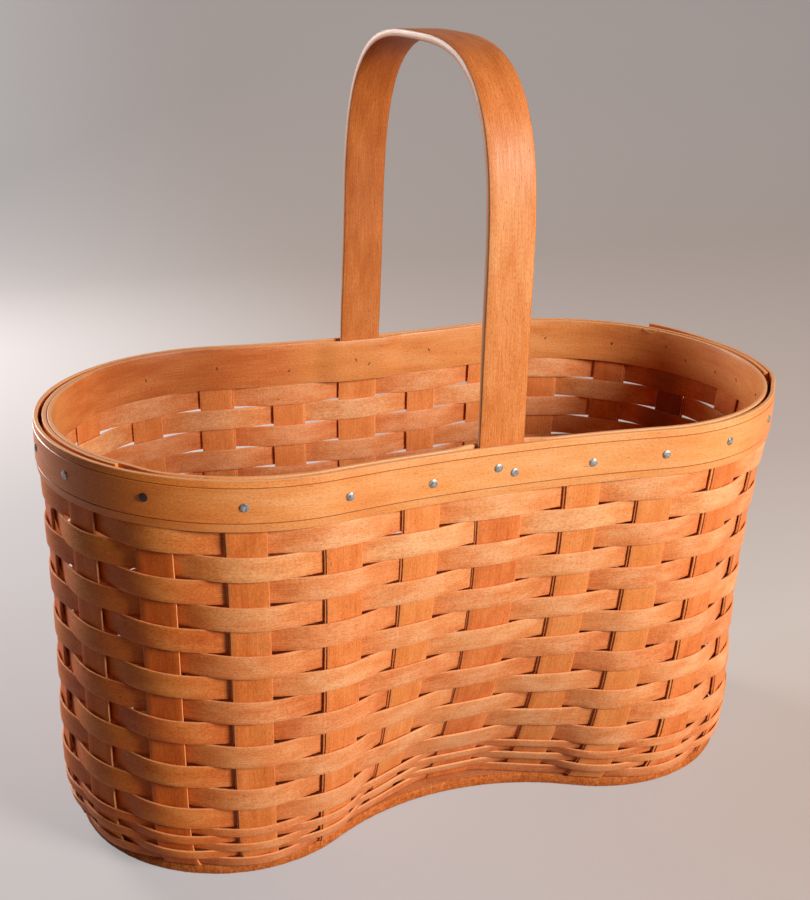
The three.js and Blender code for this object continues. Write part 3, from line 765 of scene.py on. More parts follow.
def makeWeavers():
    rng = random.Random(weave["randomSeed"])
    for row in range(1, rowCount + 1):
        kind = wideWeaver if row <= wideWeaver["rows"] else narrowWeaver
        look = dict(kind, seed=row * weave["seedStep"])
        profile = stripProfile("weaverProfile", look)
        fitStrip("weaverRow%02d" % row, weaverSpots(row, look, rng), profile, look, "slicedMapleWeaver",
                 "weaver", "weaver_%02d" % row)
    print("weavers woven:", rowCount)


# Uprights: two layers of thin splint side by side, bent in under the floor at the foot
upright = {
    "width": 19.0, "handleWidth": 24.0, "thickness": 0.8, "ease": 0.12, "waver": 0.2, "swell": 0.15,
    "fray": 0.05, "cup": 0.0, "sway": 0.15, "layerShift": 1.1, "shiftSpread": (0.6, 1.2), "layerGap": 0.05,
    "layerDrop": 0.8, "topDrop": 2.5, "footLength": 19.0, "footBend": 1.0, "footSteps": 4, "bendSteps": 6,
    "faceSteps": 6, "step": 3.0, "randomSeed": 23, "seedFrom": 100, "seedStep": 2.3,
}


def uprightSpots(k, layer, slide, tint):
    bend, length, low = upright["footBend"], upright["footLength"], basket["weaveBottom"]
    turn = uprightTurn(k, 0)
    base = wallPoint(turn, low)
    normal = wallNormal(turn, low)
    tangent = alongWall(normal)
    points = []
    for i in range(upright["footSteps"] + 1):
        inward = length - (length - bend) * i / upright["footSteps"]
        points.append((base - normal * inward - upward * bend, -upward, tangent))
    for i in range(1, upright["bendSteps"]):
        angle = pi / 2 * i / upright["bendSteps"]
        points.append((base - normal * bend * (1 - sin(angle)) - upward * bend * cos(angle),
                       (normal * sin(angle) - upward * cos(angle)).normalized(), tangent))
    top = basket["rimHeight"] - upright["topDrop"] - upright["layerDrop"] * layer
    count = int((top - low) / upright["step"])
    for i in range(count + 1):
        height = low + (top - low) * i / count
        turn = uprightTurn(k, height)
        tangent = alongWall(wallNormal(turn, height))
        rise = wallPoint(turn, height + 0.5) - wallPoint(turn, height - 0.5)
        # the weavers push it a little in and out
        row = (basket["bandBottom"] - height) / wideWeaver["pitch"] + 0.5
        sway = 0.0
        if 0.5 < row < wideWeaver["rows"] + 0.5:
            sway = (-1 if (round(row) + k) % 2 else 1) * upright["sway"] * cos(pi * (row - round(row)))
        points.append((wallPoint(turn, height, sway), tangent.cross(rise).normalized(), tangent))
    layerOut = (0.5 - layer) * (upright["thickness"] + upright["layerGap"])
    spots, along = [], 0.0
    for i, (centre, outward, tangent) in enumerate(points):
        if i:
            along += (centre - points[i - 1][0]).length
        spots.append(spotAt(centre + outward * layerOut + tangent * slide, outward, tangent, along,
                            tint=tint, aged=paintedShadeAt(k / basket["uprights"])))
    return spots


def makeUprights():
    rng = random.Random(upright["randomSeed"])
    names = dict(zip(basket["handleUprights"], ("handle_stake_back", "handle_stake_front")))
    for k in range(basket["uprights"]):
        look = dict(upright, width=upright["handleWidth"] if k in names else upright["width"])
        profile = stripProfile("uprightProfile", look)
        shift = upright["layerShift"] * rng.uniform(*upright["shiftSpread"])
        # all round, the outer layer lies a little nearer to the right end
        if wallNormal(k / basket["uprights"], bandMiddle).y > 0:
            shift = -shift
        meshes = []
        for layer in (0, 1):
            look["seed"] = upright["seedFrom"] + k * upright["seedStep"] + layer
            spots = uprightSpots(k, layer, shift * (0.5 - layer), rng.uniform(0, 1))
            meshes.append(bendStrip("upright", spots, profile, look, "slicedMapleUpright"))
        piece = joinMeshes("upright%02d" % (k + 1), meshes)
        putOn(piece, "stake", names.get(k, "stake_%02d" % (k + 1)))
        bpy.data.objects.remove(profile)
    print("uprights set:", basket["uprights"])


# Rim bands, outside and inside, each with its ends lapped. Both are darker toward the right end, on the inner
# band as painted shade.
outerBand = {
    "width": 25.4, "thickness": 2.6, "inside": 1.0, "waver": 0.12, "swell": 0.1, "fray": 0.05, "cup": 0.0,
    "lapFrom": -0.038, "lapTo": 0.063, "lapEase": 26.0, "lapGap": 0.3, "endRise": 1.8, "riseFrom": 0.02,
    "innerEase": 0.2, "outerEase": 0.25, "bevel": 0.6, "faceStep": 4.0, "topCrease": 3.6, "lowCrease": 4.4,
    "creaseDepth": 0.42, "creaseHalf": 0.28, "creaseShoulder": 1.6, "creaseLip": 0.14,
    "tint": 0.5, "tintSpread": 0.3, "tintChanges": 23, "tintSeed": 4.0,
    "deeperEnd": 0.25, "deeperFrom": 0.2, "deeperSpan": 0.4, "seed": 61,
}
innerBand = {
    "width": 25.4, "thickness": 2.2, "inside": 1.0, "waver": 0.12, "swell": 0.1, "fray": 0.05, "cup": 0.0,
    "lapFrom": 0.415, "lapTo": 0.565, "lapEase": 26.0, "lapGap": 0.3, "tip": 0.4,
    "ease": 0.45, "faceSteps": 5, "bulge": 2.9, "bulgeHalf": 12.6, "bulgeEase": 17.0,
    "tint": 0.62, "darkTint": 0.65, "darkFrom": 0.27, "darkTo": 0.47, "darkEase": 0.04,
    "deeperEnd": 0.2, "deeperFrom": 0.3, "deeperSpan": 0.4, "seed": 67,
}
# proud: the outer face is a little paler, as rubbed, the inner face darker, as painted shade
bandPath = {"step": 2.5, "nudge": 0.25, "proud": 0.5}


def lapLift(look, past):
    # how far a band lies over its own other layer, eased out past the lap
    return (look["thickness"] + look["lapGap"]) * (1 - smooth(past * rimLength, 0, look["lapEase"]))


def outerBandLift(turn):
    # the strip starts under the lap, goes once round and ends over its own start
    return lapLift(outerBand, outerBand["lapFrom"] - turn)


def outerFace(turn):
    # how far the outer face stands out at a place round the rim, on the upper of two layers
    turn -= floor(turn - outerBand["lapTo"]) + 1
    return outerBand["inside"] + outerBand["thickness"] + outerBandLift(turn)


def innerBandSlim(turn):
    ease = smooth((turn - innerBand["lapFrom"]) * rimLength / innerBand["lapEase"])
    return innerBand["tip"] + (1 - innerBand["tip"]) * ease


def innerBandOut(turn):
    # the face toward the wall: it swells inward over the handle's ends and lifts over its own start
    middles = [k / basket["uprights"] for k in basket["handleUprights"]]
    away = min(abs((turn - middle + 0.5) % 1 - 0.5) for middle in middles) * rimLength
    bulge = innerBand["bulge"] * (1 - smooth(away, innerBand["bulgeHalf"], innerBand["bulgeEase"]))
    return -innerBand["inside"] - bulge - lapLift(innerBand, turn - innerBand["lapTo"])


def innerFace(turn):
    turn -= floor(turn - innerBand["lapTo"])
    return innerBandOut(turn) - innerBand["thickness"] * innerBandSlim(turn)


def outerRise(turn):
    # the end that shows stands a little higher than the band under it
    start, end = outerBand["riseFrom"], outerBand["lapTo"]
    return outerBand["endRise"] * max(0, turn - start) / (end - start)


# darker toward the right end: on the inner band this is painted shade
def deeperAt(look, turn):
    return look["deeperEnd"] * smooth(wallNormal(turn, bandMiddle).x, look["deeperFrom"], look["deeperSpan"])


def outerTint(turn):
    uneven = noise(Vector((turn * outerBand["tintChanges"], outerBand["tintSeed"], 0.0)))
    return outerBand["tint"] + outerBand["tintSpread"] * uneven + paleAt(turn) - deeperAt(outerBand, turn)


def innerTint(turn):
    # the stretch to the left of the handle took the stain deeper
    place, ease = turn % 1, innerBand["darkEase"]
    dark = smooth(place, innerBand["darkFrom"], ease) * smooth(innerBand["darkTo"] - place, 0, ease)
    return innerBand["tint"] - innerBand["darkTint"] * dark - deeperAt(innerBand, turn)


def bandSpots(start, end, offsetAt, slimAt, tintAt, riseAt):
    count = int((end - start) * rimLength / bandPath["step"])
    nudge = bandPath["nudge"] / rimLength
    spots = []
    for i in range(count + 1):
        turn = start + (end - start) * i / count
        before = wallPoint(turn - nudge, bandMiddle, offsetAt(turn - nudge))
        after = wallPoint(turn + nudge, bandMiddle, offsetAt(turn + nudge))
        outward = (after - before).cross(upward).normalized()
        centre = wallPoint(turn, bandMiddle, offsetAt(turn)) + upward * riseAt(turn)
        spots.append(spotAt(centre, outward, upward, (turn - start) * rimLength, slim=slimAt(turn),
                            proud=bandPath["proud"], tint=tintAt(turn), aged=max(0, paintedShadeAt(turn))))
    return spots


def creaseCorners(level, face, side):
    # a scored line in the outer band's face, from its middle side to its edge side, with painted shade at its
    # bottom
    half, bottom = side * outerBand["creaseHalf"], face - outerBand["creaseDepth"]
    return [(level - half * outerBand["creaseShoulder"], face, 0.0), (level - half / 2, bottom, 1.0),
            (level + half / 2, bottom, 1.0), (level + half, face - outerBand["creaseLip"], 0.0)]


def makeOuterBand():
    look = outerBand
    inner, outer = look["innerEase"], look["outerEase"]
    halfW, halfT = look["width"] / 2, look["thickness"] / 2
    bevelled = halfT - look["bevel"]
    # flat inside, and two shallow bevels outside, each beginning at a crease
    corners = [(-halfW + inner, -halfT, 0.0), (halfW - inner, -halfT, 0.0), (halfW, -halfT + inner, 0.0)]
    corners += [(halfW, bevelled - outer, 0.0), (halfW - outer, bevelled, 0.0)]
    corners += reversed(creaseCorners(halfW - look["topCrease"], halfT, 1))
    corners += [(across, halfT, 0.0) for across in (look["faceStep"], 0.0, -look["faceStep"])]
    corners += creaseCorners(-halfW + look["lowCrease"], halfT, -1)
    corners += [(-halfW + outer, bevelled, 0.0), (-halfW, bevelled - outer, 0.0)]
    corners += [(-halfW, -halfT + inner, 0.0)]
    spots = bandSpots(look["lapFrom"] - 1, look["lapTo"],
                      lambda turn: look["inside"] + halfT + outerBandLift(turn),
                      lambda turn: 1.0, outerTint, outerRise)
    fitStrip("outerRimBand", spots, profileObject("outerBandProfile", corners), look, "bentMapleBand",
             "band", "outer_rim_band")


def makeInnerBand():
    look = innerBand
    spots = bandSpots(look["lapFrom"], look["lapTo"] + 1,
                      lambda turn: innerBandOut(turn) - look["thickness"] / 2 * innerBandSlim(turn),
                      innerBandSlim, innerTint, lambda turn: 0.0)
    fitStrip("innerRimBand", spots, stripProfile("innerBandProfile", look), look, "bentMapleBand",
             "band", "inner_rim_band")


# A thin curl of bare wood that has lifted from the top edge of the inner band.
# Its places are uprights passed, height, and mm inward from the band's face.
sliver = {
    "width": 0.8, "thickness": 0.35, "waver": 0.0, "swell": 0.05, "fray": 0.0, "cup": 0.0, "ease": 0.1,
    "curl": ((1.53, 229.2, 0.1), (1.46, 228.3, 0.6), (1.39, 227.8, 1.0), (1.34, 228.8, 0.9),
             (1.27, 230.9, 0.6)),
    "grainStep": 2.0, "proud": -1.0, "tint": 3.0, "faceSteps": 2, "seed": 71,
}


def makeSliver():
    look = sliver
    places = []
    for passed, height, inward in look["curl"]:
        turn = passed / basket["uprights"]
        places.append((wallPoint(turn, height, innerFace(turn) - inward), wallNormal(turn, height)))
    spots = []
    for i, (centre, normal) in enumerate(places):
        run = places[min(i + 1, len(places) - 1)][0] - places[max(i - 1, 0)][0]
        spots.append(spotAt(centre, normal, run.cross(normal).normalized(), i * look["grainStep"],
                            proud=look["proud"], tint=look["tint"]))
    fitStrip("bandSliver", spots, stripProfile("sliverProfile", look), look, "bentMapleBand", "band")


# Handle: one strip on edge over the waist, thinned where its ends go down between upright and inner band
handle = {
    "width": 24.6, "thickness": 4.1, "legThickness": 2.6, "ease": 0.8, "faceSteps": 6, "cornerDarkening": 0.85,
    "waver": 0.12, "swell": 0.25, "fray": 0.1, "cup": 0.0, "inset": 1.0, "tuck": 23.5, "straightBelow": 8,
    "legLean": 1.0, "springRise": 70.0, "rise": 186.0, "squareness": 3.1, "legSteps": 12, "archSteps": 100,
    "seed": 83,
    # hands have rubbed its shoulders pale, and its top is darkened as painted shade, at heights that are
    # shares of springRise
    "rubbedAt": 1.5, "darkFrom": 1.5, "darkSpan": 1.1, "darkRub": 0.7, "darkTint": 0.5, "tint": 0.5,
}


def handleSpots():
    rim, spring, steps = basket["rimHeight"], handle["springRise"], handle["legSteps"]
    legY = wallTopPlan[2] - handle["inset"]
    halfSpan = legY - handle["legLean"]
    outer = [(legY, rim - handle["tuck"]), (legY, rim - handle["straightBelow"])]
    outer += [(legY + (halfSpan - legY) * i / steps, rim + spring * i / steps) for i in range(steps)]
    leg = len(outer)
    for i in range(handle["archSteps"] + 1):
        angle = pi * i / handle["archSteps"]
        across = abs(cos(angle)) ** (2 / handle["squareness"]) * (1 if cos(angle) >= 0 else -1)
        rise = abs(sin(angle)) ** (2 / handle["squareness"])
        outer.append((halfSpan * across, rim + spring + (handle["rise"] - spring) * rise))
    outer += [(-y, z) for y, z in reversed(outer[:leg])]
    spots, along = [], 0.0
    for i, (y, z) in enumerate(outer):
        yBefore, zBefore = outer[max(i - 1, 0)]
        yAfter, zAfter = outer[min(i + 1, len(outer) - 1)]
        outward = Vector((0, zAfter - zBefore, yBefore - yAfter)).normalized()
        high = (z - rim) / spring
        thickness = handle["legThickness"] + (handle["thickness"] - handle["legThickness"]) * smooth(high)
        along += hypot(y - yBefore, z - zBefore)
        # painted shade on the top of the arch: a lower tint, and less paling of its outer face
        dark = smooth(high, handle["darkFrom"], handle["darkSpan"])
        centre = Vector((middleX, y, z)) - outward * thickness / 2
        spots.append(spotAt(centre, outward, Vector((1, 0, 0)), along, slim=thickness / handle["thickness"],
                            proud=smooth(high, 0, handle["rubbedAt"]) - handle["darkRub"] * dark,
                            tint=handle["tint"] - handle["darkTint"] * dark))
    return spots


def makeHandle():
    fitStrip("handleStrip", handleSpots(), stripProfile("handleProfile", handle), handle, "bentMapleHandle",
             "handle", "handle")
    print("handle bent")


# Boards: the base that shows, and the floor that holds the feet of the uprights down
boards = {
    "outlinePoints": 480, "edgeRound": 1.0, "floorThickness": 5.0, "floorInset": 3.2, "floorEdgeRound": 0.4,
    "roughness": 0.22, "roughAlong": 0.35, "roughUp": 0.6,
    "edgeSeed": 0.5, "faceSeed": 10.5, "faceSeedStep": 100,
}


def makeBoard(name, shape, bottom, thickness, ease, node):
    count, cut, top = boards["outlinePoints"], ease * cornerCut, bottom + thickness
    rings = [(bottom, -ease), (bottom + cut, -cut), (bottom + ease, 0), (bottom + thickness / 2, 0)]
    rings += [(top - ease, 0), (top - cut, -cut), (top, -ease)]
    outline = planLength(shape)
    points = []
    for z, growth in rings:
        for i in range(count):
            (x, y), (normalX, normalY) = planPoint(shape, i / count)
            rough = noise(Vector((x * boards["roughAlong"], y * boards["roughAlong"], z * boards["roughUp"])))
            out = growth + rough * boards["roughness"] + endShiftAt(bottom) * cos(2 * pi * i / count)
            points.append(Vector((x + normalX * out + middleX, y + normalY * out, z)) * mm)
    # each face's corners carry their own grain, so that it can turn at the board's edge
    faces, grains = [], []
    for level in range(len(rings) - 1):
        for i in range(count):
            a, b = level * count + i, level * count + (i + 1) % count
            faces.append((a, b, b + count, a + count))
            left, right = outline * i / count * mm, outline * (i + 1) / count * mm
            low, high = points[a].z, points[a + count].z
            grains += [(along, z, boards["edgeSeed"])
                       for along, z in ((left, low), (right, low), (right, high), (left, high))]
    for cap in (list(reversed(range(count))), list(range((len(rings) - 1) * count, len(rings) * count))):
        faces.append(cap)
        seed = boards["faceSeed"] + points[cap[0]].z * boards["faceSeedStep"]
        grains += [(points[i].x, points[i].y, seed) for i in cap]
    mesh = bpy.data.meshes.new(name)
    mesh.from_pydata(points, [], faces)
    grain = mesh.attributes.new("grain", "FLOAT_VECTOR", "CORNER")
    grain.data.foreach_set("vector", [part for place in grains for part in place])
    mesh.materials.append(materials["sawnMapleEdge"])
    mesh.materials.append(materials["sawnMapleBoard"])
    mesh.polygons.foreach_set("material_index", [0] * (len(faces) - 2) + [1, 1])
    putOn(linkObject(name, finishMesh(mesh, name)), "board", node)


def makeBoards():
    makeBoard("baseBoard", basket["boardPlan"], 0.0, basket["boardThickness"], boards["edgeRound"],
              "base_board")
    floorShape = tuple(size - boards["floorInset"] for size in wallShape(basket["weaveBottom"]))
    makeBoard("floorBoard", floorShape, basket["weaveBottom"], boards["floorThickness"],
              boards["floorEdgeRound"], "floor_board")
    print("boards cut")


# Nails of the rim and the handle, with their points clinched inside
nails = {
    "headDiameter": 4.4, "headHeight": 0.75, "shankDiameter": 1.8, "tilt": 5.0, "headSides": 20,
    "handleSpacing": 9.0, "handleStagger": 3.4, "handleShift": 0.95, "handleHeight": 217.3,
    # at these uprights: mm along from the upright's middle, and height
    "placed": {
        2: (0.0, 218.4), 3: (0.0, 218.8), 5: (-2.4, 219.2), 7: (0.0, 213.8), 8: (-0.8, 218.2),
        9: (0.8, 217.4), 10: (2.0, 220.0), 13: (-6.3, 217.4), 14: (-1.6, 218.6), 15: (0.0, 217.0),
        16: (4.9, 216.8), 17: (4.9, 216.0), 19: (4.9, 216.0), 20: (2.0, 216.8), 21: (-2.4, 218.0),
    },
    # at the others: how far along, and how far from the middle of the band
    "strayAlong": (-2, 2), "strayHeight": (-1, 1.5),
    # round the lap of the outer band: uprights passed, and height
    "lap": ((1.15, 221.8), (0.82, 215.6), (0.25, 214.6), (-0.25, 217.0)),
    "rusty": 14, "randomSeed": 5, "tiltSeed": 3,
    # a point comes through behind its head, a little along and lower, and is beaten over into the wood
    "pointLength": 2.4, "pointDiameter": 0.8, "pointSides": 10, "pointAlong": (-0.6, 0.6),
    "pointLower": (0, 1.5), "handlePointLower": 1, "pointTurn": (-0.7, 0.7), "pointBite": 0.12,
    "pointSunk": 0.04,
}


def makeNailTree():
    # one nail for each point of the given mesh, turned to the way the point faces
    tree, given = newTree("nailsOnPoints", {"Nail": "Object", "Tilt": "Float", "Seed": "Int"})
    shape = addNode(tree, "GeometryNodeObjectInfo", {}, {"Object": given["Nail"]})
    facing = addNode(tree, "GeometryNodeInputNamedAttribute", {"data_type": "FLOAT_VECTOR"}, {
        "Name": "facing"})
    aimed = addNode(tree, "FunctionNodeAlignRotationToVector", {"axis": "Z"}, {
        "Vector": facing.outputs["Attribute"]})
    limits = []
    for sign in (-1, 1):
        lean = addNode(tree, "ShaderNodeVectorMath", {"operation": "SCALE"}, {
            0: (sign, sign, 0), "Scale": given["Tilt"]})
        limit = addNode(tree, "ShaderNodeVectorMath", {"operation": "ADD"}, {
            0: lean.outputs[0], 1: (0, 0, sign * pi)})
        limits.append(limit.outputs[0])
    jitter = addNode(tree, "FunctionNodeRandomValue", {"data_type": "FLOAT_VECTOR"}, {
        "Min": limits[0], "Max": limits[1], "Seed": given["Seed"]})
    turned = addNode(tree, "FunctionNodeRotateRotation", {"rotation_space": "LOCAL"}, {
        "Rotation": aimed.outputs["Rotation"], "Rotate By": jitter.outputs["Value"]})
    placed = addNode(tree, "GeometryNodeInstanceOnPoints", {}, {
        "Points": given["Geometry"], "Instance": shape.outputs["Geometry"],
        "Rotation": turned.outputs["Rotation"]})
    return finishTree(tree, placed.outputs["Instances"], given["Material"])


nailTree = makeNailTree()


def turnedObject(name, profile, sides):
    # profile: (radius, height) pairs in mm from the bottom pole to the top pole
    points, faces = [Vector((0, 0, profile[0][1])) * mm], []
    for radius, height in profile[1:-1]:
        for i in range(sides):
            angle = 2 * pi * i / sides
            points.append(Vector((radius * cos(angle), radius * sin(angle), height)) * mm)
    points.append(Vector((0, 0, profile[-1][1])) * mm)
    last = len(points) - 1
    top = 1 + (len(profile) - 3) * sides
    for i in range(sides):
        j = (i + 1) % sides
        faces.append((0, 1 + j, 1 + i))
        for ring in range(1, top, sides):
            faces.append((ring + i, ring + j, ring + sides + j, ring + sides + i))
        faces.append((top + i, top + j, last))
    mesh = bpy.data.meshes.new(name)
    mesh.from_pydata(points, [], faces)
    return linkObject(name, mesh)


def putNails(name, shape, spots, tilt, steel, *nodes):
    # spots: place in mm, direction, rust from 0 to 1
    points = bpy.data.meshes.new(name + "Points")
    points.from_pydata([place * mm for place, facing, rust in spots], [], [])
    facing = points.attributes.new("facing", "FLOAT_VECTOR", "POINT")
    facing.data.foreach_set("vector", [part for place, direction, rust in spots for part in direction])
    rusts = points.attributes.new("rust", "FLOAT", "POINT")
    rusts.data.foreach_set("value", [rust for place, direction, rust in spots])
    carrier = linkObject(name + "Points", points)
    mesh = bakeModifier(carrier, nailTree, {
        "Nail": shape, "Tilt": radians(tilt), "Seed": nails["tiltSeed"], "Material": materials[steel]})
    bpy.data.objects.remove(carrier)
    bpy.data.objects.remove(shape)
    putOn(linkObject(name, finishMesh(mesh, name)), "nail", *nodes)


def nailShape():
    # a low domed head on a round shank that narrows to its end
    head, shank, rise = nails["headDiameter"] / 2, nails["shankDiameter"] / 2, nails["headHeight"]
    return turnedObject("nailShape", [
        (0, -5), (shank * 0.5, -5), (shank, -4), (shank, -0.05), (head * 0.97, -0.05), (head, 0.12),
        (head * 0.96, rise * 0.55), (head * 0.7, rise * 0.92), (head * 0.35, rise), (0, rise)],
        nails["headSides"])


def pointShape():
    # the bent end of a nail, with its root sunk below the wood
    radius, length = nails["pointDiameter"] / 2, nails["pointLength"]
    return turnedObject("pointShape", [
        (0, -0.4), (radius * 0.7, -0.3), (radius, 0), (radius * 0.9, length * 0.4),
        (radius * 0.6, length * 0.75), (radius * 0.2, length * 0.97), (0, length)], nails["pointSides"])


def makeNails():
    rng = random.Random(nails["randomSeed"])
    handleNails, rimNails, pointPlaces = [], [], []
    for middle, side in ((0.25, 1), (0.75, -1)):
        for hand in (-1, 1):
            height = nails["handleHeight"] - hand * nails["handleStagger"] / 2
            place = wallPoint(middle, height, outerBand["inside"] + outerBand["thickness"])
            place.x += hand * nails["handleSpacing"] / 2 + nails["handleShift"]
            handleNails.append((place, Vector((0, side, 0)), 0.0))
            pointPlaces.append((middle - side * (place.x - middleX) / rimLength,
                                height - nails["handlePointLower"]))
    places = [(passed / basket["uprights"], height, 0.0) for passed, height in nails["lap"]]
    for k in range(2, basket["uprights"]):
        if k not in basket["handleUprights"]:
            stray = (rng.uniform(*nails["strayAlong"]), bandMiddle + rng.uniform(*nails["strayHeight"]))
            shift, height = nails["placed"].get(k, stray)
            rust = 1.0 if k == nails["rusty"] else 0.0
            places.append((k / basket["uprights"] + shift / rimLength, height, rust))
    for turn, height, rust in places:
        rimNails.append((wallPoint(turn, height, outerFace(turn)), wallNormal(turn, height), rust))
        pointPlaces.append((turn + rng.uniform(*nails["pointAlong"]) / rimLength,
                            height - rng.uniform(*nails["pointLower"])))
    nodes = ["handle_nail_%s_%s" % (side, hand) for side in ("back", "front") for hand in ("left", "right")]
    putNails("handleNails", nailShape(), handleNails, nails["tilt"], "zincCoatedSteel", *nodes)
    putNails("rimNails", nailShape(), rimNails, nails["tilt"], "zincCoatedSteel")

    # the points lie half sunk in the wood of the inner band
    clinched = []
    for turn, height in pointPlaces:
        normal = wallNormal(turn, height)
        angle = rng.uniform(*nails["pointTurn"]) - pi / 2
        direction = alongWall(normal) * cos(angle) + upward * sin(angle) + normal * nails["pointBite"]
        place = wallPoint(turn, height, innerFace(turn) - nails["pointSunk"])
        clinched.append((place, direction.normalized(), 0.0))
    putNails("clinchedPoints", pointShape(), clinched, 0.0, "rustedSteelPoint")
    print("nails driven:", len(handleNails) + len(rimNails))


def directionTo(azimuth, elevation):
    # in degrees, from the middle of the basket: 0, 0 is straight to the front
    az, el = radians(azimuth), radians(elevation)
    return Vector((sin(az) * cos(el), -cos(az) * cos(el), sin(el)))


# Camera: it looks at the target, in mm from the middle of the basket
shot = {
    "azimuth": -23.914, "elevation": 20.984, "roll": 1.861, "distance": 803.3,
    "target": (11.285, 46.31, 173.014), "focalPixels": 1346.8, "imageWidth": 810, "sensorWidth": 36,
    "clipStart": 0.01,
}


def makeCamera():
    roll = radians(shot["roll"])
    back = directionTo(shot["azimuth"], shot["elevation"])
    right = (-back).cross(upward).normalized()
    up = right.cross(-back)
    turnedRight = right * cos(roll) + up * sin(roll)
    turnedUp = up * cos(roll) - right * sin(roll)
    camera = bpy.data.cameras.new("camera")
    camera.sensor_fit = "HORIZONTAL"
    camera.sensor_width = shot["sensorWidth"]
    camera.lens = shot["sensorWidth"] * shot["focalPixels"] / shot["imageWidth"]
    camera.clip_start = shot["clipStart"]
    piece = linkObject("camera", camera)
    matrix = Matrix((turnedRight, turnedUp, back)).transposed().to_4x4()
    matrix.translation = (Vector(shot["target"]) + Vector((middleX, 0, 0)) + back * shot["distance"]) * mm
    piece.matrix_world = matrix
    bpy.context.scene.camera = piece


# Places of the lamps are azimuth, elevation and distance in metres from the middle of the basket
light = {
    "keyPower": 51.5, "keySize": 0.7, "keyPlace": (32.0, 24.0, 2.0), "keyColour": "#FFFFFF",
    "edgePower": 19.0, "edgeSize": 0.5, "edgePlace": (-151.0, 17.0, 1.3), "edgeColour": "#F8F6F4",
    "worldStrength": 0.05, "worldColour": "#FFD4AE", "roomColour": "#8C8580", "centre": (0.0, 0.0, 0.15),
}
# The tones the sweep shows, (metres along it from under the basket, colour), to the left and to the right of
# it: a painted pool of light to the left, and painted warm light on the floor in front to the right
sweepLook = {
    "left": ((-0.1, "#D8D4D5"), (0.3, "#F0ECEE"), (0.9, "#F4F0F2"), (1.2, "#DAD7D8"), (2.0, "#DFDDE1")),
    "right": ((-0.15, "#D4B6A2"), (0.05, "#E6D6CA"), (0.35, "#CFBAB0"), (1.2, "#C8B8B0"), (2.0, "#BFB5B2")),
    "from": -0.2, "to": 0.4, "runFrom": -0.5, "runTo": 2.5, "paper": "#B9AFAA", "glow": 0.5, "bounce": 0.45,
    # its floor, the bend behind the basket and the backdrop, in metres
    "front": 6.0, "halfWidth": 6.0, "bendFrom": 1.2, "bendRadius": 0.8, "bendSteps": 12, "top": 5.0,
    "drop": 0.0002,
}


def addLamp(name, power, size, place, colour):
    azimuth, elevation, distance = place
    lamp = bpy.data.lights.new(name, "AREA")
    lamp.energy = power
    lamp.shape = "DISK"
    lamp.size = size
    lamp.color = toLinear(colour)[:3]
    piece = linkObject(name, lamp)
    toLamp = directionTo(azimuth, elevation)
    piece.location = Vector(light["centre"]) + toLamp * distance
    piece.rotation_euler = (-toLamp).to_track_quat("-Z", "Y").to_euler()


def seenDirectly(tree):
    # 1 for what the eye sees, also in a reflection, and 0 for light that falls on the basket
    rays = addNode(tree, "ShaderNodeLightPath")
    direct = rays.outputs["Is Camera Ray"]
    for kind in ("Is Glossy Ray", "Is Transmission Ray"):
        either = addNode(tree, "ShaderNodeMath", {"operation": "MAXIMUM"}, {0: direct, 1: rays.outputs[kind]})
        direct = either.outputs[0]
    return direct


def makeSweepMaterial():
    # matt paper, cooler to the left; half of what the eye sees is a painted tone that glows, with a painted
    # pool of light to the left and painted warm light in front to the right, so shadows stay soft, and it
    # throws little light back onto the basket
    look = sweepLook
    material = bpy.data.materials.new("mattPaperSweep")
    tree = clearedTree(material)
    run = addNode(tree, "ShaderNodeAttribute", {"attribute_name": "run"})
    share = addNode(tree, "ShaderNodeMapRange", {}, {
        "Value": run.outputs["Fac"], "From Min": look["runFrom"], "From Max": look["runTo"]})
    tones = {}
    for side in ("left", "right"):
        ramp = addNode(tree, "ShaderNodeValToRGB", {}, {"Fac": share.outputs["Result"]})
        elements = ramp.color_ramp.elements
        elements.remove(elements[1])
        for i, (place, colour) in enumerate(look[side]):
            position = (place - look["runFrom"]) / (look["runTo"] - look["runFrom"])
            stop = elements.new(position) if i else elements[0]
            stop.position = position
            stop.color = toLinear(colour)
        tones[side] = ramp.outputs["Color"]
    place = addNode(tree, "ShaderNodeTexCoord")
    parts = addNode(tree, "ShaderNodeSeparateXYZ", {}, {"Vector": place.outputs["Object"]})
    toRight = addNode(tree, "ShaderNodeMapRange", {"interpolation_type": "SMOOTHSTEP"}, {
        "Value": parts.outputs["X"], "From Min": look["from"], "From Max": look["to"]})
    seen = addNode(tree, "ShaderNodeMix", mixColours, {
        "Factor": toRight.outputs["Result"], "A": tones["left"], "B": tones["right"]})
    direct = seenDirectly(tree)
    brightness = addNode(tree, "ShaderNodeMapRange", {}, {"Value": direct, "To Min": look["bounce"]})
    paper = addNode(tree, "ShaderNodeHueSaturation", {}, {
        "Color": toLinear(look["paper"]), "Value": brightness.outputs["Result"]})
    lit = addNode(tree, "ShaderNodeBsdfDiffuse", {}, {"Color": paper.outputs["Color"]})
    tone = addNode(tree, "ShaderNodeEmission", {}, {"Color": seen.outputs["Result"]})
    glow = addNode(tree, "ShaderNodeMath", multiply, {0: direct, 1: look["glow"]})
    surface = addNode(tree, "ShaderNodeMixShader", {}, {
        0: glow.outputs["Value"], 1: lit.outputs["BSDF"], 2: tone.outputs["Emission"]})
    addNode(tree, "ShaderNodeOutputMaterial", {}, {"Surface": surface.outputs["Shader"]})
    return material


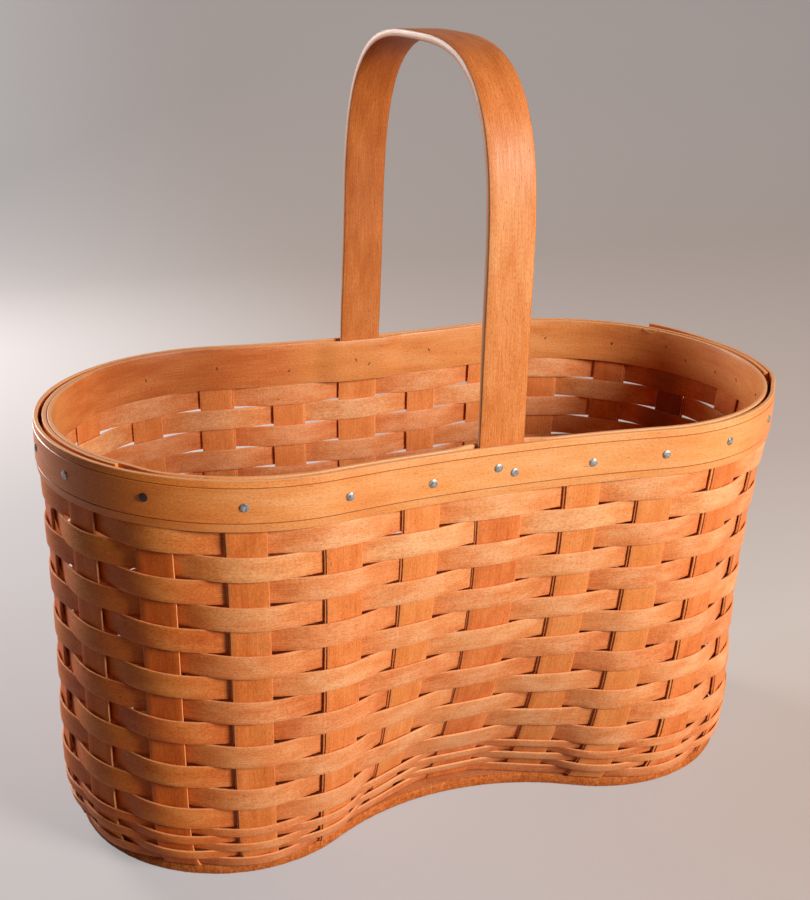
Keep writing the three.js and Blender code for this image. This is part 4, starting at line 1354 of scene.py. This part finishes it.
def makeStudio():
    for name in ("key", "edge"):
        addLamp(name + "Light", light[name + "Power"], light[name + "Size"], light[name + "Place"],
                light[name + "Colour"])
    world = bpy.data.worlds.new("studio")
    bpy.context.scene.world = world
    tree = clearedTree(world)
    direct = seenDirectly(tree)
    colour = addNode(tree, "ShaderNodeMix", mixColours, {
        "Factor": direct, "A": toLinear(light["worldColour"]), "B": toLinear(light["roomColour"])})
    strength = addNode(tree, "ShaderNodeMapRange", {}, {"Value": direct, "To Min": light["worldStrength"]})
    background = addNode(tree, "ShaderNodeBackground", {}, {
        "Color": colour.outputs["Result"], "Strength": strength.outputs["Result"]})
    addNode(tree, "ShaderNodeOutputWorld", {}, {"Surface": background.outputs["Background"]})
    # a floor that rises into a backdrop behind the basket: y, z, and the way along it
    look = sweepLook
    start, radius = look["bendFrom"], look["bendRadius"]
    sweep = [(-look["front"], 0.0, -look["front"]), (start, 0.0, start)]
    for i in range(1, look["bendSteps"] + 1):
        angle = pi / 2 * i / look["bendSteps"]
        sweep.append((start + radius * sin(angle), radius - radius * cos(angle), start + radius * angle))
    sweep.append((start + radius, look["top"], start + radius * pi / 2 + look["top"] - radius))
    points, faces, runs = [], [], []
    for y, z, run in sweep:
        points += [(-look["halfWidth"], y, z - look["drop"]), (look["halfWidth"], y, z - look["drop"])]
        runs += [run, run]
    for i in range(len(sweep) - 1):
        faces.append((2 * i, 2 * i + 1, 2 * i + 3, 2 * i + 2))
    mesh = bpy.data.meshes.new("studioSweep")
    mesh.from_pydata(points, [], faces)
    mesh.attributes.new("run", "FLOAT", "POINT").data.foreach_set("value", runs)
    mesh.polygons.foreach_set("use_smooth", [True] * len(mesh.polygons))
    mesh.materials.append(makeSweepMaterial())
    linkObject("studioSweep", mesh)


makeWeavers()
makeUprights()
makeOuterBand()
makeInnerBand()
makeSliver()
print("rim bands bent")
makeHandle()
makeBoards()
makeNails()
makeStudio()
makeCamera()
bpy.context.scene.view_settings.view_transform = "Standard"
print("scene ready")
